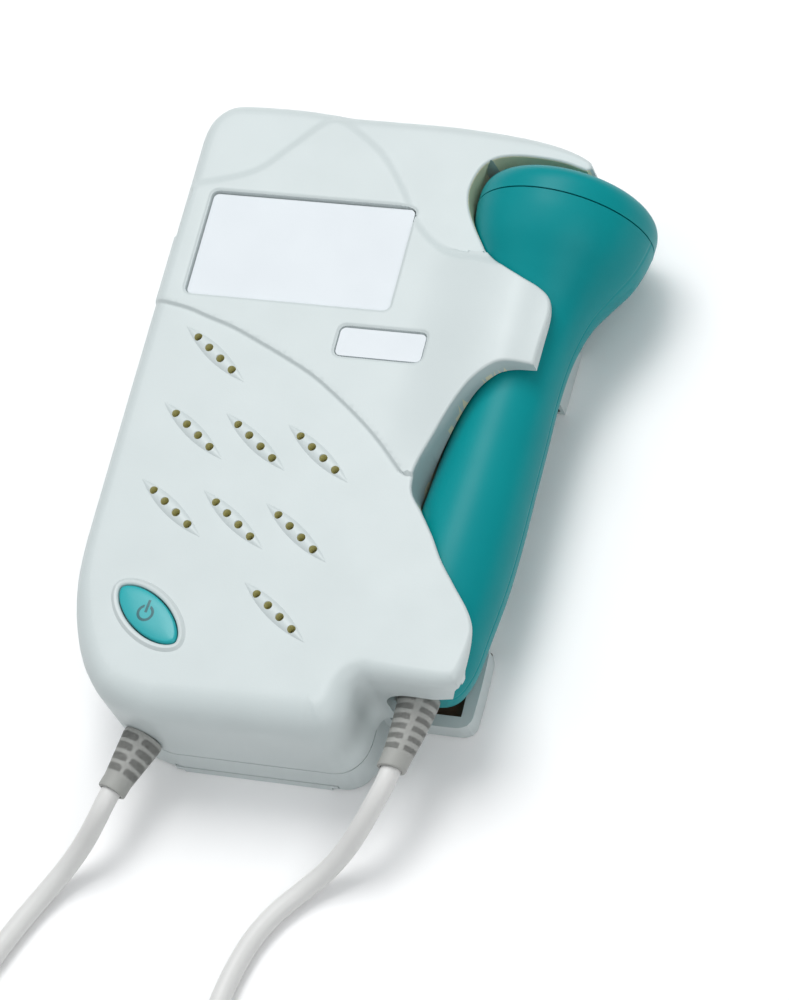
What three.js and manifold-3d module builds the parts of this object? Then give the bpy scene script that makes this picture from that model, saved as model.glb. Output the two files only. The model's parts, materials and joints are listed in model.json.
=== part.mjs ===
// A pocket heartbeat monitor with an ultrasound probe lying in a cradle on its right side.
// Millimetres, +Z up out of the front face, +Y toward the top end, +X toward the probe.
import * as THREE from "three";
import { mergeVertices } from "three/addons/utils/BufferGeometryUtils.js";
import Module from "manifold-3d";

const wasm = await Module();
wasm.setup();

// Housing
const HOUSING_LENGTH = 135;
const HOUSING_WIDTH = 84;
const PANEL_HEIGHT = 28.6;
const PARTING_HEIGHT = 8.6;
const WALL = 1.8;
const SEAT_GAP = 0.3;
const EDGE_RADIUS = 3;
const BACK_EDGE_RADIUS = 1.2;
const RAISED_STEP = 0.7;
const CLAW_CREST = 2.3;
const CLAW_EDGE_RISE = 0.5;
const CUT_OVERRUN = 5;

// Holder tray on the back of the cradle
const TRAY_FLOOR = 1.8;
const TRAY_LIP = 5.3;
const TRAY_LIP_WIDTH = 1.6;
const RIB_WIDTH = 2.4;

// Probe, a turned shape lying in the cradle
const PROBE_LENGTH = 101.2;
const PROBE_HEAD_RADIUS = 18.2;
const PROBE_CAP_DEPTH = 7.8;
const PROBE_AXIS_HEIGHT = 18.6;
const PROBE_LEAN = 0.06;
const PROBE_RISE = 0.03;
const PROBE_CLEARANCE = 0.4;
const PROBE_WALL = 1.6;
const CHANNEL_REACH = 75;
const CRYSTAL_RADIUS = 6;
const CRYSTAL_THICKNESS = 1;
const BACKING_THICKNESS = 4;

// Speaker bosses and their holes
const BOSS_LENGTH = 19.1;
const BOSS_WIDTH = 3.3;
const BOSS_RISE = 0.6;
const BOSS_TURN = -35.9;
const BOSS_HOLE_RADIUS = 0.85;
const BOSS_HOLE_PITCH = 3.67;
const BOSS_HOLES = 4;

// Power button
const BUTTON_LENGTH = 18.1;
const BUTTON_WIDTH = 7.8;
const BUTTON_RING = 0.9;
const BUTTON_PROUD = 0.7;
const BUTTON_TRAVEL = 0.8;
const BUTTON_FLANGE = 1.2;
const BUTTON_FLANGE_THICKNESS = 1;
const BUTTON_CLEARANCE = 0.3;
const STEM_RADIUS = 1.6;

// Label plates and grille cloth
const LABEL_RECESS = 1.7;
const NAME_RECESS = 1.1;
const PLATE_THICKNESS = 0.4;
const CLOTH_THICKNESS = 0.4;
const RECESS_CORNER = 1.4;

// Speaker
const SPEAKER_RADIUS = 23;
const SPEAKER_FLANGE = 3;
const SPEAKER_FLANGE_THICKNESS = 1.2;
const SPEAKER_DEPTH = 5.6;
const MAGNET_RADIUS = 11;
const MAGNET_THICKNESS = 2.4;
const CONE_THICKNESS = 0.5;

// Boards and what they carry
const BOARD_THICKNESS = 1.6;
const BOARD_HEIGHT = 13.4;
const POST_RADIUS = 3.2;
const BOARD_POST_RADIUS = 2.2;
const BUTTON_BOARD_HEIGHT = 17.4;
const SWITCH_SIDE = 6;
const SWITCH_HEIGHT = 3.4;
const PLUNGER_RADIUS = 1.4;
const PLUNGER_HEIGHT = 0.9;
const WHEEL_RADIUS = 7;
const WHEEL_THICKNESS = 2.6;
const WHEEL_PROUD = 1.2;
const WHEEL_NOTCHES = 18;
const WHEEL_NOTCH_RADIUS = 0.5;
const WHEEL_SLOT_CLEARANCE = 0.6;
const POT_RADIUS = 3.5;
const POT_HEIGHT = 2;
const POT_SHAFT_RADIUS = 1.2;
const SOCKET_RADIUS = 3;
const SOCKET_BORE_RADIUS = 1.75;
const SOCKET_BODY = 11;
const SOCKET_HEIGHT = 6;
const SOCKET_PROUD = 0.2;
const CHIP_SIDE = 12;
const CHIP_HEIGHT = 1.6;

// Batteries and their door
const CELL_RADIUS = 7.25;
const CELL_LENGTH = 50.5;
const CELL_SPACING = 15;
const CELL_CAP_RADIUS = 2.75;
const CELL_CAP_LENGTH = 1.2;
const SPRING_RADIUS = 3;
const SPRING_WIRE = 0.4;
const SPRING_TURNS = 3;
const SPRING_LENGTH = 4;
const SPRING_TAPER_SHARE = 0.3;
const CONTACT_THICKNESS = 0.5;
const DOOR_LENGTH = 59;
const DOOR_WIDTH = 31;
const DOOR_THICKNESS = 1.1;
const TONGUE_WIDTH = 1.5;
const TONGUE_THICKNESS = 1;
const DOOR_GROOVES = 5;
const DOOR_GROOVE_WIDTH = 0.8;
const DOOR_GROOVE_START = 3.2;
const DOOR_GROOVE_PITCH = 2.4;
const DOOR_GROOVE_DEPTH = 0.4;

// Screws
const SCREW_HEAD_RADIUS = 2.4;
const SCREW_HEAD_HEIGHT = 1.8;
const SCREW_RADIUS = 1.3;
const SCREW_LENGTH = 16;
const SCREW_CLEARANCE = 0.3;

// Strain reliefs and cord
const HOUSING_RELIEF_LENGTH = 12.6;
const PROBE_RELIEF_LENGTH = 15.6;
const RELIEF_ROOT_RADIUS = 4.1;
const RELIEF_TIP_RADIUS = 2.9;
const PROBE_RELIEF_LEAN = 1.3;
const RELIEF_COLLAR = 2.6;
const RELIEF_SLOT_DEPTH = 1.1;
const RELIEF_PLUG_RADIUS = 3;
const RELIEF_NUT_RADIUS = 3.8;
const RELIEF_NUT_LENGTH = 1.6;
const RELIEF_NUT_GAP = 0.8;
const RELIEF_SLOT_WIDTH = 3.1;
const CORD_EXIT_HEIGHT = 12;
const CORD_RADIUS = 2;
const CORD_LAY_GAP = 0.5;
const COIL_MEAN_RADIUS = 22;
const COIL_CENTRE = [-36, -154];
const TIE_THICKNESS = 0.55;
const TIE_WIDTH = 7;
const TIE_CLEARANCE = 0.9;
const TIE_SLACK = 0.35;
const CORD_STEP = 5;

// The cord's free stretches, point by point from the sleeve to the coil.
const HOUSING_ROUTE = [
  [-34.86, -73.13, 12], [-35.6, -75.5, 11.7], [-37, -78.6, 10.2], [-39.8, -82.6, 6.9],
  [-43.4, -87.2, 3.9], [-47, -92.5, 2.4], [-50.5, -99, 2.1], [-54, -107, 2.1],
  [-57.5, -116, 2.1], [-61, -126, 2.15], [-63.8, -136, 2.35], [-65.1, -144, 2.7],
  [-65.31, -149.7, 2.9],
];
const PROBE_ROUTE = [
  [21.43, -62.95, 15.03], [20.85, -65.5, 14.75], [19.3, -69, 13.4], [16.9, -72.9, 10.7],
  [13.6, -76.7, 7.1], [9.6, -80.5, 4], [5.2, -84.6, 2.4], [0.8, -89.8, 2.05],
  [-2.6, -96.5, 2.05], [-4.8, -105, 2.1], [-6, -115, 2.3], [-6.6, -125, 3.2],
  [-6.69, -135, 5.2], [-6.69, -143, 6.9], [-6.69, -149.7, 7.4],
];

// Counts
const COIL_LOOPS = 6.5;
const TIED_LOOPS = 3;
const HOUSING_RELIEF_SLOTS = 4;
const PROBE_RELIEF_SLOTS = 6;
const LOOP_STEPS = 24;
const LOOP_SIDES = 6;
const CORD_SIDES = 10;
const ROUND_SIDES = 32;
const SMALL_ROUND_SIDES = 12;
const HOLE_SIDES = 8;
const NOTCH_SIDES = 6;
const WIRE_SIDES = 5;
const SPRING_STEPS = 8;
const CORNER_STEPS = 3;
const CLAW_STEPS = 14;
const BACK_EDGE_STEPS = 2;
const EDGE_STEPS = 4;
const CRISP_EDGE_SHARE = 0.2;
const OVAL_POINT_SHARE = 1.15;

// Outlines in plan: each point is a share of the width and of the length, counterclockwise.
// A third value is the share of the edge radius that rounds the front edge there.
// The bottom end and the chin's right wall.
const CHIN_SHARES = [
  [0.2929, 0.0022, 2.2], [0.6429, 0.0022, 2.4], [0.6774, 0.003, 2.4],
  [0.7095, 0.0126, 2.2], [0.7321, 0.0319, 2], [0.7405, 0.056, 1.8],
];
// The hollow corner between the chin and the cheek.
const CHIN_CORNER_SHARES = [
  [0.7411, 0.0741, 1.7], [0.7476, 0.0889, 1.5], [0.7619, 0.0969, 1.3],
];
// The cheek over the probe's grip.
const CHEEK_SHARES = [
  [0.7857, 0.0985, 1.1], [0.8452, 0.0985, 1], [0.9583, 0.0985, 1], [0.9869, 0.1052, 0.8],
  [0.9964, 0.123, 0.5], [0.9964, 0.18], [0.9774, 0.2096], [0.9238, 0.2519],
  [0.8798, 0.2867], [0.8429, 0.3237], [0.8036, 0.3578], [0.769, 0.3867],
];
// The claw's lower edge.
const CLAW_LOWER_SHARES = [
  [0.7619, 0.4104], [0.7679, 0.4356], [0.7869, 0.4696], [0.806, 0.5037],
  [0.8262, 0.537], [0.8536, 0.5652], [0.8964, 0.5889],
];
// The claw's tip.
const CLAW_TIP_SHARES = [
  [0.9333, 0.5963], [0.9917, 0.5978], [0.994, 0.6444], [0.9964, 0.6881],
  [0.981, 0.7104], [0.956, 0.7237],
];
// The claw's upper edge.
const CLAW_UPPER_SHARES = [
  [0.9071, 0.7363], [0.85, 0.7548], [0.8036, 0.7763],
];
// The bay round the probe's head.
const BAY_SHARES = [
  [0.7714, 0.8015], [0.7417, 0.8296], [0.7214, 0.8556], [0.7131, 0.8837],
  [0.7238, 0.9133], [0.7405, 0.9289], [0.7702, 0.9393], [0.8286, 0.9437],
  [0.919, 0.9393], [0.9881, 0.9274],
];
// The rim past the bay.
const RIM_SHARES = [
  [0.9988, 0.9333], [0.9905, 0.9437, 0.3], [0.9464, 0.9585, 0.45], [0.8821, 0.9719, 0.7],
  [0.7881, 0.9837, 1],
];
// The top end, the left wall and the cut lower corner.
const TOP_LEFT_SHARES = [
  [0.681, 0.9896, 1], [0.6071, 0.9919, 1], [0.4762, 0.9926, 1], [0.369, 0.9933, 1],
  [0.3214, 0.9963, 1], [0.2321, 1, 1], [0.0857, 1, 1.1], [0.0524, 0.9948, 1.1],
  [0.0274, 0.983, 1.1], [0.0095, 0.9659, 1.1], [0.0012, 0.9422, 1.1], [0, 0.9037, 1.1],
  [0, 0.2652, 1.1], [0.0048, 0.2044, 1.2], [0.0179, 0.1585, 1.4],
  [0.0393, 0.1178, 1.5], [0.0655, 0.0822, 1.6], [0.1, 0.0511, 1.6], [0.1476, 0.0241, 1.8],
  [0.2595, 0.003, 2.1],
];
// The tray under the cradle, its hook, its finger and the wall of the bay.
const TRAY_SHARES = [
  [0.7405, 0.1007], [0.7548, 0.1044], [0.9167, 0.1044], [0.9381, 0.1096],
  [0.9476, 0.1215], [0.9476, 0.2207], [0.9393, 0.2356], [0.9226, 0.24],
  [0.9226, 0.6148], [0.9536, 0.6148], [0.9536, 0.7185], [0.9393, 0.7326], [0.8571, 0.7422],
  [0.7976, 0.763], [0.7571, 0.8037], [0.7262, 0.8385], [0.7119, 0.8667],
  [0.7071, 0.8926], [0.7167, 0.9178], [0.7405, 0.9363], [0.7738, 0.9452],
  [0.8286, 0.9481], [0.919, 0.943], [0.9714, 0.9333],
];
// The main body's right wall beside the cradle.
const BODY_SIDE_SHARES = [
  [0.7405, 0.7259], [0.7167, 0.7704],
  [0.6976, 0.8296], [0.6952, 0.9185], [0.7024, 0.9815],
];
// The arc that ends the raised plateau below.
const ARC_SHARES = [
  [0, 0.6519, 1.1], [0.0952, 0.6422], [0.1524, 0.6311], [0.225, 0.617],
  [0.3, 0.597], [0.3738, 0.5763], [0.45, 0.5526], [0.5274, 0.5207],
  [0.6071, 0.4837], [0.6631, 0.4533], [0.7202, 0.4178],
];
// The bell-shaped crease that ends it above.
const BELL_SHARES = [
  [0.7083, 0.7807], [0.625, 0.8185], [0.5643, 0.8741], [0.4905, 0.9304],
  [0.4286, 0.96], [0.375, 0.9800, 0.6], [0.3381, 0.993, 1], [0.3012, 0.9800, 0.6],
  [0.2321, 0.9333], [0.1607, 0.8896], [0.0226, 0.86], [0, 0.8563, 1.1],
];
// Where the claw grows out of the plateau.
const CLAW_ROOT_SHARES = [
  [0.7143, 0.7852], [0.6488, 0.7852], [0.6488, 0.4889], [0.7143, 0.4333],
];

// Turned profile of the probe: shares of its length from the cord end and of its head radius.
const PROBE_PROFILE_SHARES = [
  [0, 0.3], [0.01, 0.4], [0.032, 0.472], [0.075, 0.53], [0.142, 0.552], [0.241, 0.582],
  [0.34, 0.577], [0.438, 0.552], [0.538, 0.527], [0.636, 0.5], [0.716, 0.505], [0.775, 0.547],
  [0.825, 0.621], [0.874, 0.753], [0.923, 0.896], [0.964, 0.967], [1, 1],
];
// The cap over the crystals: shares of its depth and of the head radius.
const CAP_PROFILE_SHARES = [[0, 1], [0.36, 0.995], [0.62, 0.95], [0.81, 0.84], [0.93, 0.63], [1, 0]];
// How the claw's rise swells across it and along it.
const ARCH_WIDTH_SHARE = 1.6;
const BOSS_CROWN_SHARE = 0.72;
const CLAW_ACROSS_SHARES = [0.66, 0.895, 0.996];
const CLAW_ALONG_SHARES = [0.4, 0.52, 0.74, 0.87];

// Places on the front face, as shares of the width and the length.
const LABEL_SHARES = { left: 0.076, right: 0.598, low: 0.669, high: 0.843 };
const NAME_SHARES = { left: 0.49, right: 0.711, low: 0.589, high: 0.639 };
const BOSS_SHARES = [
  [0.1985, 0.5746], [0.1977, 0.4476], [0.3589, 0.4399], [0.5196, 0.4315],
  [0.1975, 0.3218], [0.3583, 0.3133], [0.5186, 0.3038], [0.519, 0.1776],
];
const PROBE_RING_SHARES = [0.9286, 0.8652];
const BUTTON_SHARES = [0.2167, 0.1511];
const SPEAKER_SHARES = [0.357, 0.385];
const DOOR_CENTRE_SHARE = 0.45;
const WHEEL_SHARE = 0.17;
const SOCKET_SHARE = 0.43;
const CHIP_SHARES = [[0.2, 0.75], [0.5, 0.68], [0.45, 0.8]];
const SCREW_SHARES = [[0.074, 0.267], [0.083, 0.9], [0.63, 0.9], [0.694, 0.09]];
const POST_SHARES = [[0.1, 0.62], [0.64, 0.62], [0.64, 0.8], [0.1, 0.8]];
const CLOTH_SHARES = [
  [0.381, 0.126], [0.643, 0.126], [0.643, 0.593], [0.12, 0.593], [0.12, 0.237], [0.286, 0.237],
];
const BOARD_SHARES = [
  [0.048, 0.489], [0.655, 0.489], [0.655, 0.968], [0.107, 0.968], [0.048, 0.93],
];
const SOCKET_WALL_SHARE = 0.993;
const BUTTON_BOARD_SHARES = [[0.095, 0.085], [0.29, 0.085], [0.29, 0.215], [0.095, 0.215]];
const BUTTON_POST_SHARES = [[0.143, 0.115], [0.143, 0.19]];
const RIB_SHARES = [0.27, 0.42, 0.57];

// Colours from the photograph.
const MATERIALS = {
  shell: { color: 0xe4e9ec, roughness: 0.42 },
  teal: { color: 0x00868c, roughness: 0.38 },
  button: { color: 0x2aa9ae, roughness: 0.35 },
  relief: { color: 0x9a9a94, roughness: 0.6 },
  cord: { color: 0xb4b4b0, roughness: 0.5 },
  plate: { color: 0xe9edee, roughness: 0.5 },
  cloth: { color: 0x35352e, roughness: 0.95 },
  dark: { color: 0x2b2b2d, roughness: 0.6 },
  board: { color: 0x1f6b3a, roughness: 0.55 },
  steel: { color: 0xb9bcc0, roughness: 0.35, metalness: 0.9 },
  cell: { color: 0x4a5a68, roughness: 0.4, metalness: 0.3 },
  cone: { color: 0x6b6355, roughness: 0.9 },
  ceramic: { color: 0xcfc9b8, roughness: 0.6 },
};

const acrossHousing = (share) => share * HOUSING_WIDTH;
const alongHousing = (share) => share * HOUSING_LENGTH;
const smooth = THREE.MathUtils.smoothstep;

// Plan points in millimetres from rows of shares.
function plan(...tables) {
  return tables.flat().map(([x, y, edge]) => ({
    x: acrossHousing(x),
    y: alongHousing(y),
    edge: (edge ?? CRISP_EDGE_SHARE) * EDGE_RADIUS,
  }));
}

// A solid from a closed geometry: its shared corners are merged and its faces turned outward.
function solid(geometry) {
  const bare = new THREE.BufferGeometry();
  bare.setAttribute("position", geometry.getAttribute("position"));
  bare.setIndex(geometry.index);
  const merged = mergeVertices(bare);
  const triVerts = new Uint32Array(merged.index.array);
  const vertProperties = new Float32Array(merged.getAttribute("position").array);
  const made = new wasm.Manifold(new wasm.Mesh({ numProp: 3, vertProperties, triVerts }));
  if (made.volume() > 0) return made;
  for (let i = 0; i < triVerts.length; i += 3) {
    [triVerts[i], triVerts[i + 1]] = [triVerts[i + 1], triVerts[i]];
  }
  return new wasm.Manifold(new wasm.Mesh({ numProp: 3, vertProperties, triVerts }));
}

// The geometry of a solid.
function geometryOf(body) {
  const mesh = body.getMesh();
  const geometry = new THREE.BufferGeometry();
  geometry.setAttribute("position", new THREE.BufferAttribute(mesh.vertProperties, 3));
  geometry.setIndex(new THREE.BufferAttribute(mesh.triVerts, 1));
  return geometry;
}

const joined = (...bodies) => bodies.flat().reduce((a, b) => a.add(b));
const cut = (body, ...tools) => tools.flat().reduce((a, b) => a.subtract(b), body);

// A solid through rings of equal count; flatten gives a ring point's place in its end's plane.
function loft(rings, flatten = (p) => [p.x, p.y]) {
  const count = rings[0].length;
  const last = (rings.length - 1) * count;
  const index = [];
  for (let ring = 0; ring < last; ring += count) {
    for (let i = 0; i < count; i += 1) {
      const next = (i + 1) % count;
      index.push(ring + i, ring + next, ring + count + next);
      index.push(ring + i, ring + count + next, ring + count + i);
    }
  }
  // The triangles of an end, which turn the same way round as its ring.
  const end = (ring) => {
    const contour = ring.map((p) => new THREE.Vector2(...flatten(p)));
    const faces = THREE.ShapeUtils.triangulateShape(contour, []);
    return THREE.ShapeUtils.isClockWise(contour) ? faces.map((face) => face.toReversed()) : faces;
  };
  for (const [a, b, c] of end(rings.at(-1))) index.push(last + a, last + b, last + c);
  for (const [a, b, c] of end(rings[0])) index.push(c, b, a);
  const geometry = new THREE.BufferGeometry();
  const places = rings.flat().flatMap((p) => [p.x, p.y, p.z]);
  geometry.setAttribute("position", new THREE.Float32BufferAttribute(places, 3));
  geometry.setIndex(index);
  return solid(geometry);
}

// The points moved inward, each by its own amount, square to the outline.
function inset(points, amountOf) {
  const count = points.length;
  return points.map((point, i) => {
    const before = points[(i + count - 1) % count];
    const after = points[(i + 1) % count];
    const arriving = new THREE.Vector2(point.x - before.x, point.y - before.y).normalize();
    const leaving = new THREE.Vector2(after.x - point.x, after.y - point.y).normalize();
    const along = arriving.clone().add(leaving).normalize();
    const reach = amountOf(point) / Math.max(along.dot(leaving), Math.SQRT1_2);
    return { ...point, x: point.x - along.y * reach, y: point.y + along.x * reach };
  });
}

// A block over a plan outline, its front edge rounded by each point's own radius.
function softBlock(points, low, high, { thinner = 0, lowRound = 0 } = {}) {
  const rings = [];
  const quarter = Math.PI / 2;
  if (lowRound) {
    for (let step = 0; step <= EDGE_STEPS; step += 1) {
      const turn = (quarter * step) / EDGE_STEPS;
      const ring = inset(points, () => lowRound * (1 - Math.sin(turn)));
      rings.push(ring.map((p) => ({ ...p, z: low + lowRound * (1 - Math.cos(turn)) })));
    }
  } else {
    rings.push(points.map((p) => ({ ...p, z: low })));
  }
  for (let step = 0; step <= EDGE_STEPS; step += 1) {
    const turn = (quarter * step) / EDGE_STEPS;
    const radius = (p) => Math.max(p.edge - thinner, CRISP_EDGE_SHARE * EDGE_RADIUS);
    const ring = inset(points, (p) => radius(p) * (1 - Math.cos(turn)));
    rings.push(ring.map((p) => ({ ...p, z: high - radius(p) * (1 - Math.sin(turn)) })));
  }
  return loft(rings);
}

// An upright prism over plan points.
function prism(points, low, high) {
  const shape = new THREE.Shape(points.map((p) => new THREE.Vector2(p.x, p.y)));
  const depth = high - low;
  return solid(new THREE.ExtrudeGeometry(shape, { depth, bevelEnabled: false }).translate(0, 0, low));
}

function box(x0, x1, y0, y1, z0, z1) {
  const geometry = new THREE.BoxGeometry(x1 - x0, y1 - y0, z1 - z0);
  return solid(geometry.translate((x0 + x1) / 2, (y0 + y1) / 2, (z0 + z1) / 2));
}

// An upright cylinder.
function rod(x, y, low, high, radius, sides = SMALL_ROUND_SIDES) {
  const geometry = new THREE.CylinderGeometry(radius, radius, high - low, sides);
  return solid(geometry.rotateX(Math.PI / 2).translate(x, y, (low + high) / 2));
}

// A body turned about Y from [radius, height] rows that start and end on the axis.
function turned(rows, sides = ROUND_SIDES) {
  const profile = rows.map(([radius, height]) => new THREE.Vector2(radius, height));
  return solid(new THREE.LatheGeometry(profile, sides));
}

// The points of an oval with pointed ends: two arcs of one circle.
function lens(length, width, steps = SMALL_ROUND_SIDES) {
  const half = length / 2;
  const rise = width / 2;
  const radius = (half * half + rise * rise) / (2 * rise);
  const spread = Math.asin(half / radius);
  const side = Array.from({ length: steps }, (_, i) => {
    const turn = -spread + (2 * spread * i) / steps;
    return { x: radius * Math.sin(turn), y: radius - rise - radius * Math.cos(turn) };
  });
  return [...side, ...side.map((p) => ({ x: -p.x, y: -p.y }))];
}

// Flat points turned and moved to a place on the front face.
function placed(points, [xShare, yShare], degrees) {
  const turn = THREE.MathUtils.degToRad(degrees);
  return points.map((p) => ({
    ...p,
    x: acrossHousing(xShare) + p.x * Math.cos(turn) - p.y * Math.sin(turn),
    y: alongHousing(yShare) + p.x * Math.sin(turn) + p.y * Math.cos(turn),
  }));
}

const scaled = (points, factor) => points.map((p) => ({ ...p, x: p.x * factor, y: p.y * factor }));

const root = new THREE.Group();
const monitor = new THREE.Group();
root.add(monitor);

// Hangs a finished piece in its group, with its own colour.
function addPiece(name, body, look, parent = monitor) {
  const material = new THREE.MeshStandardMaterial({ metalness: 0, ...MATERIALS[look] });
  const mesh = new THREE.Mesh(body.isBufferGeometry ? body : geometryOf(body), material);
  mesh.name = name;
  parent.add(mesh);
  return mesh;
}

// The probe's own frame: +Y along its axis from the cord to the crystals, origin in its ring.
const probeFrame = new THREE.Group();
const probeAlong = new THREE.Vector3(PROBE_LEAN, 1, PROBE_RISE).normalize();
const probeAcross = new THREE.Vector3(1, -PROBE_LEAN, 0).normalize();
const probeUp = new THREE.Vector3().crossVectors(probeAcross, probeAlong);
const probeMatrix = new THREE.Matrix4().makeBasis(probeAcross, probeAlong, probeUp);
probeMatrix.setPosition(
  acrossHousing(PROBE_RING_SHARES[0]),
  alongHousing(PROBE_RING_SHARES[1]),
  PROBE_AXIS_HEIGHT,
);
probeMatrix.decompose(probeFrame.position, probeFrame.quaternion, probeFrame.scale);
monitor.add(probeFrame);

const moved = (body, matrix) => solid(geometryOf(body).applyMatrix4(matrix));
const inProbeFrame = (body) => moved(body, probeMatrix);

// The room that the probe lies in and slides out of: round above on the inner side, open outward.
function probeChannel() {
  const quarterSteps = SMALL_ROUND_SIDES / 2;
  const ring = (y, radius) => {
    const arc = Array.from({ length: quarterSteps + 1 }, (_, i) => {
      const turn = Math.PI - (Math.PI / 2) * (i / quarterSteps);
      return { x: radius * Math.cos(turn), y, z: radius * Math.sin(turn) };
    });
    const outer = [{ x: CHANNEL_REACH, y, z: radius }, { x: CHANNEL_REACH, y, z: -radius }];
    return [...arc, ...outer, { x: -radius, y, z: -radius }];
  };
  const radiusOf = (share) => share * PROBE_HEAD_RADIUS + PROBE_CLEARANCE;
  const body = PROBE_PROFILE_SHARES.slice(2).map(([along, share]) =>
    ring((along - 1) * PROBE_LENGTH, radiusOf(share)),
  );
  const start = ring(-PROBE_LENGTH - 2 * PROBE_CLEARANCE, radiusOf(PROBE_PROFILE_SHARES[2][1]));
  const end = ring(PROBE_CAP_DEPTH + 2 * PROBE_CLEARANCE, radiusOf(1));
  return inProbeFrame(loft([start, ...body, end], (p) => [p.x, p.z]));
}
const channel = probeChannel();

// The arch in the cheek's end wall that the probe's cord sleeve lies in, open outward.
function cordArch() {
  const [archX] = PROBE_RING_SHARES;
  const centre = acrossHousing(archX) - PROBE_LEAN * PROBE_LENGTH;
  const level = PROBE_AXIS_HEIGHT - PROBE_RISE * PROBE_LENGTH;
  const radius = RELIEF_ROOT_RADIUS + 2 * PROBE_CLEARANCE;
  const low = PARTING_HEIGHT - CUT_OVERRUN;
  const arc = Array.from({ length: SMALL_ROUND_SIDES }, (_, i) => {
    const turn = Math.PI - (Math.PI / 2) * (i / (SMALL_ROUND_SIDES - 1));
    const x = centre + ARCH_WIDTH_SHARE * radius * Math.cos(turn);
    return { x, y: level + radius * Math.sin(turn) };
  });
  const far = centre + CHANNEL_REACH;
  const section = [...arc, { x: far, y: level + radius }, { x: far, y: low }, { x: arc[0].x, y: low }];
  const wallFrom = alongHousing(CHEEK_SHARES[0][1]) - CUT_OVERRUN;
  const wallTo = alongHousing(PROBE_RING_SHARES[1]) - PROBE_LENGTH + WALL;
  const upright = new THREE.Matrix4().makeRotationX(Math.PI / 2).setPosition(0, wallTo, 0);
  return moved(prism(section, 0, wallTo - wallFrom), upright);
}

const panelInside = PANEL_HEIGHT - WALL;
const raisedTop = PANEL_HEIGHT + RAISED_STEP;

// The claw's swelling over the probe's neck, cut to the claw's outline.
function claw() {
  const [startX, crestX, endX] = CLAW_ACROSS_SHARES.map(acrossHousing);
  const [startY, fullY, fadeY, endY] = CLAW_ALONG_SHARES.map(alongHousing);
  const edge = CLAW_EDGE_RISE / CLAW_CREST;
  const rise = (x, y) => {
    const across = x < crestX ? smooth(x, startX, crestX) : 1 - (1 - edge) * smooth(x, crestX, endX);
    return CLAW_CREST * across * smooth(y, startY, fullY) * (1 - smooth(y, fadeY, endY));
  };
  const spread = (from, to) =>
    Array.from({ length: CLAW_STEPS + 1 }, (_, i) => from + ((to - from) * i) / CLAW_STEPS);
  const columns = spread(startX, endX);
  const rows = spread(startY, endY);
  const low = panelInside;
  const bulge = loft(
    rows.map((y) => [
      { x: startX, y, z: low },
      { x: endX, y, z: low },
      ...columns.toReversed().map((x) => ({ x, y, z: raisedTop + rise(x, y) })),
    ]),
    (p) => [p.x, p.z],
  );
  const outline = plan(CLAW_ROOT_SHARES, CLAW_LOWER_SHARES, CLAW_TIP_SHARES, CLAW_UPPER_SHARES);
  return bulge.intersect(prism(outline, low - CUT_OVERRUN, raisedTop + CUT_OVERRUN));
}

// A rectangle with rounded corners, as an outline, from its sides in plan shares.
function roundedPlate({ left, right, low, high }, margin = 0) {
  const corner = RECESS_CORNER - margin;
  const x0 = acrossHousing(left) + margin;
  const x1 = acrossHousing(right) - margin;
  const y0 = alongHousing(low) + margin;
  const y1 = alongHousing(high) - margin;
  const shape = new THREE.Shape();
  shape.moveTo(x0 + corner, y0).lineTo(x1 - corner, y0);
  shape.absarc(x1 - corner, y0 + corner, corner, -Math.PI / 2, 0);
  shape.absarc(x1 - corner, y1 - corner, corner, 0, Math.PI / 2);
  shape.absarc(x0 + corner, y1 - corner, corner, Math.PI / 2, Math.PI);
  shape.absarc(x0 + corner, y0 + corner, corner, Math.PI, 1.5 * Math.PI);
  return shape.getPoints(CORNER_STEPS + 1).slice(0, -1);
}

// The lens-shaped bosses over the speaker and the slanted rows of holes through them.
function speakerBosses() {
  const raised = BOSS_SHARES.map((place) => {
    const oblong = lens(BOSS_LENGTH, BOSS_WIDTH, SMALL_ROUND_SIDES / 2);
    const foot = placed(oblong, place, BOSS_TURN);
    const crown = placed(scaled(oblong, BOSS_CROWN_SHARE), place, BOSS_TURN);
    const level = (ring, z) => ring.map((p) => ({ ...p, z }));
    const sunk = PANEL_HEIGHT - BOSS_RISE;
    return loft([level(foot, sunk), level(foot, PANEL_HEIGHT), level(crown, PANEL_HEIGHT + BOSS_RISE)]);
  });
  const middle = (BOSS_HOLES - 1) / 2;
  const holes = BOSS_SHARES.flatMap((place) =>
    Array.from({ length: BOSS_HOLES }, (_, i) => {
      const [spot] = placed([{ x: (i - middle) * BOSS_HOLE_PITCH, y: 0 }], place, BOSS_TURN);
      const high = PANEL_HEIGHT + BOSS_RISE + CUT_OVERRUN;
      return rod(spot.x, spot.y, panelInside - CUT_OVERRUN, high, BOSS_HOLE_RADIUS, HOLE_SIDES);
    }),
  );
  return { raised, holes };
}

const bodyInside = () => inset(plan(CHIN_SHARES, BODY_SIDE_SHARES, TOP_LEFT_SHARES), () => WALL);
const screwPlaces = SCREW_SHARES.map(([x, y]) => [acrossHousing(x), alongHousing(y)]);
const shellJoint = PARTING_HEIGHT + SEAT_GAP / 2;

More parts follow.
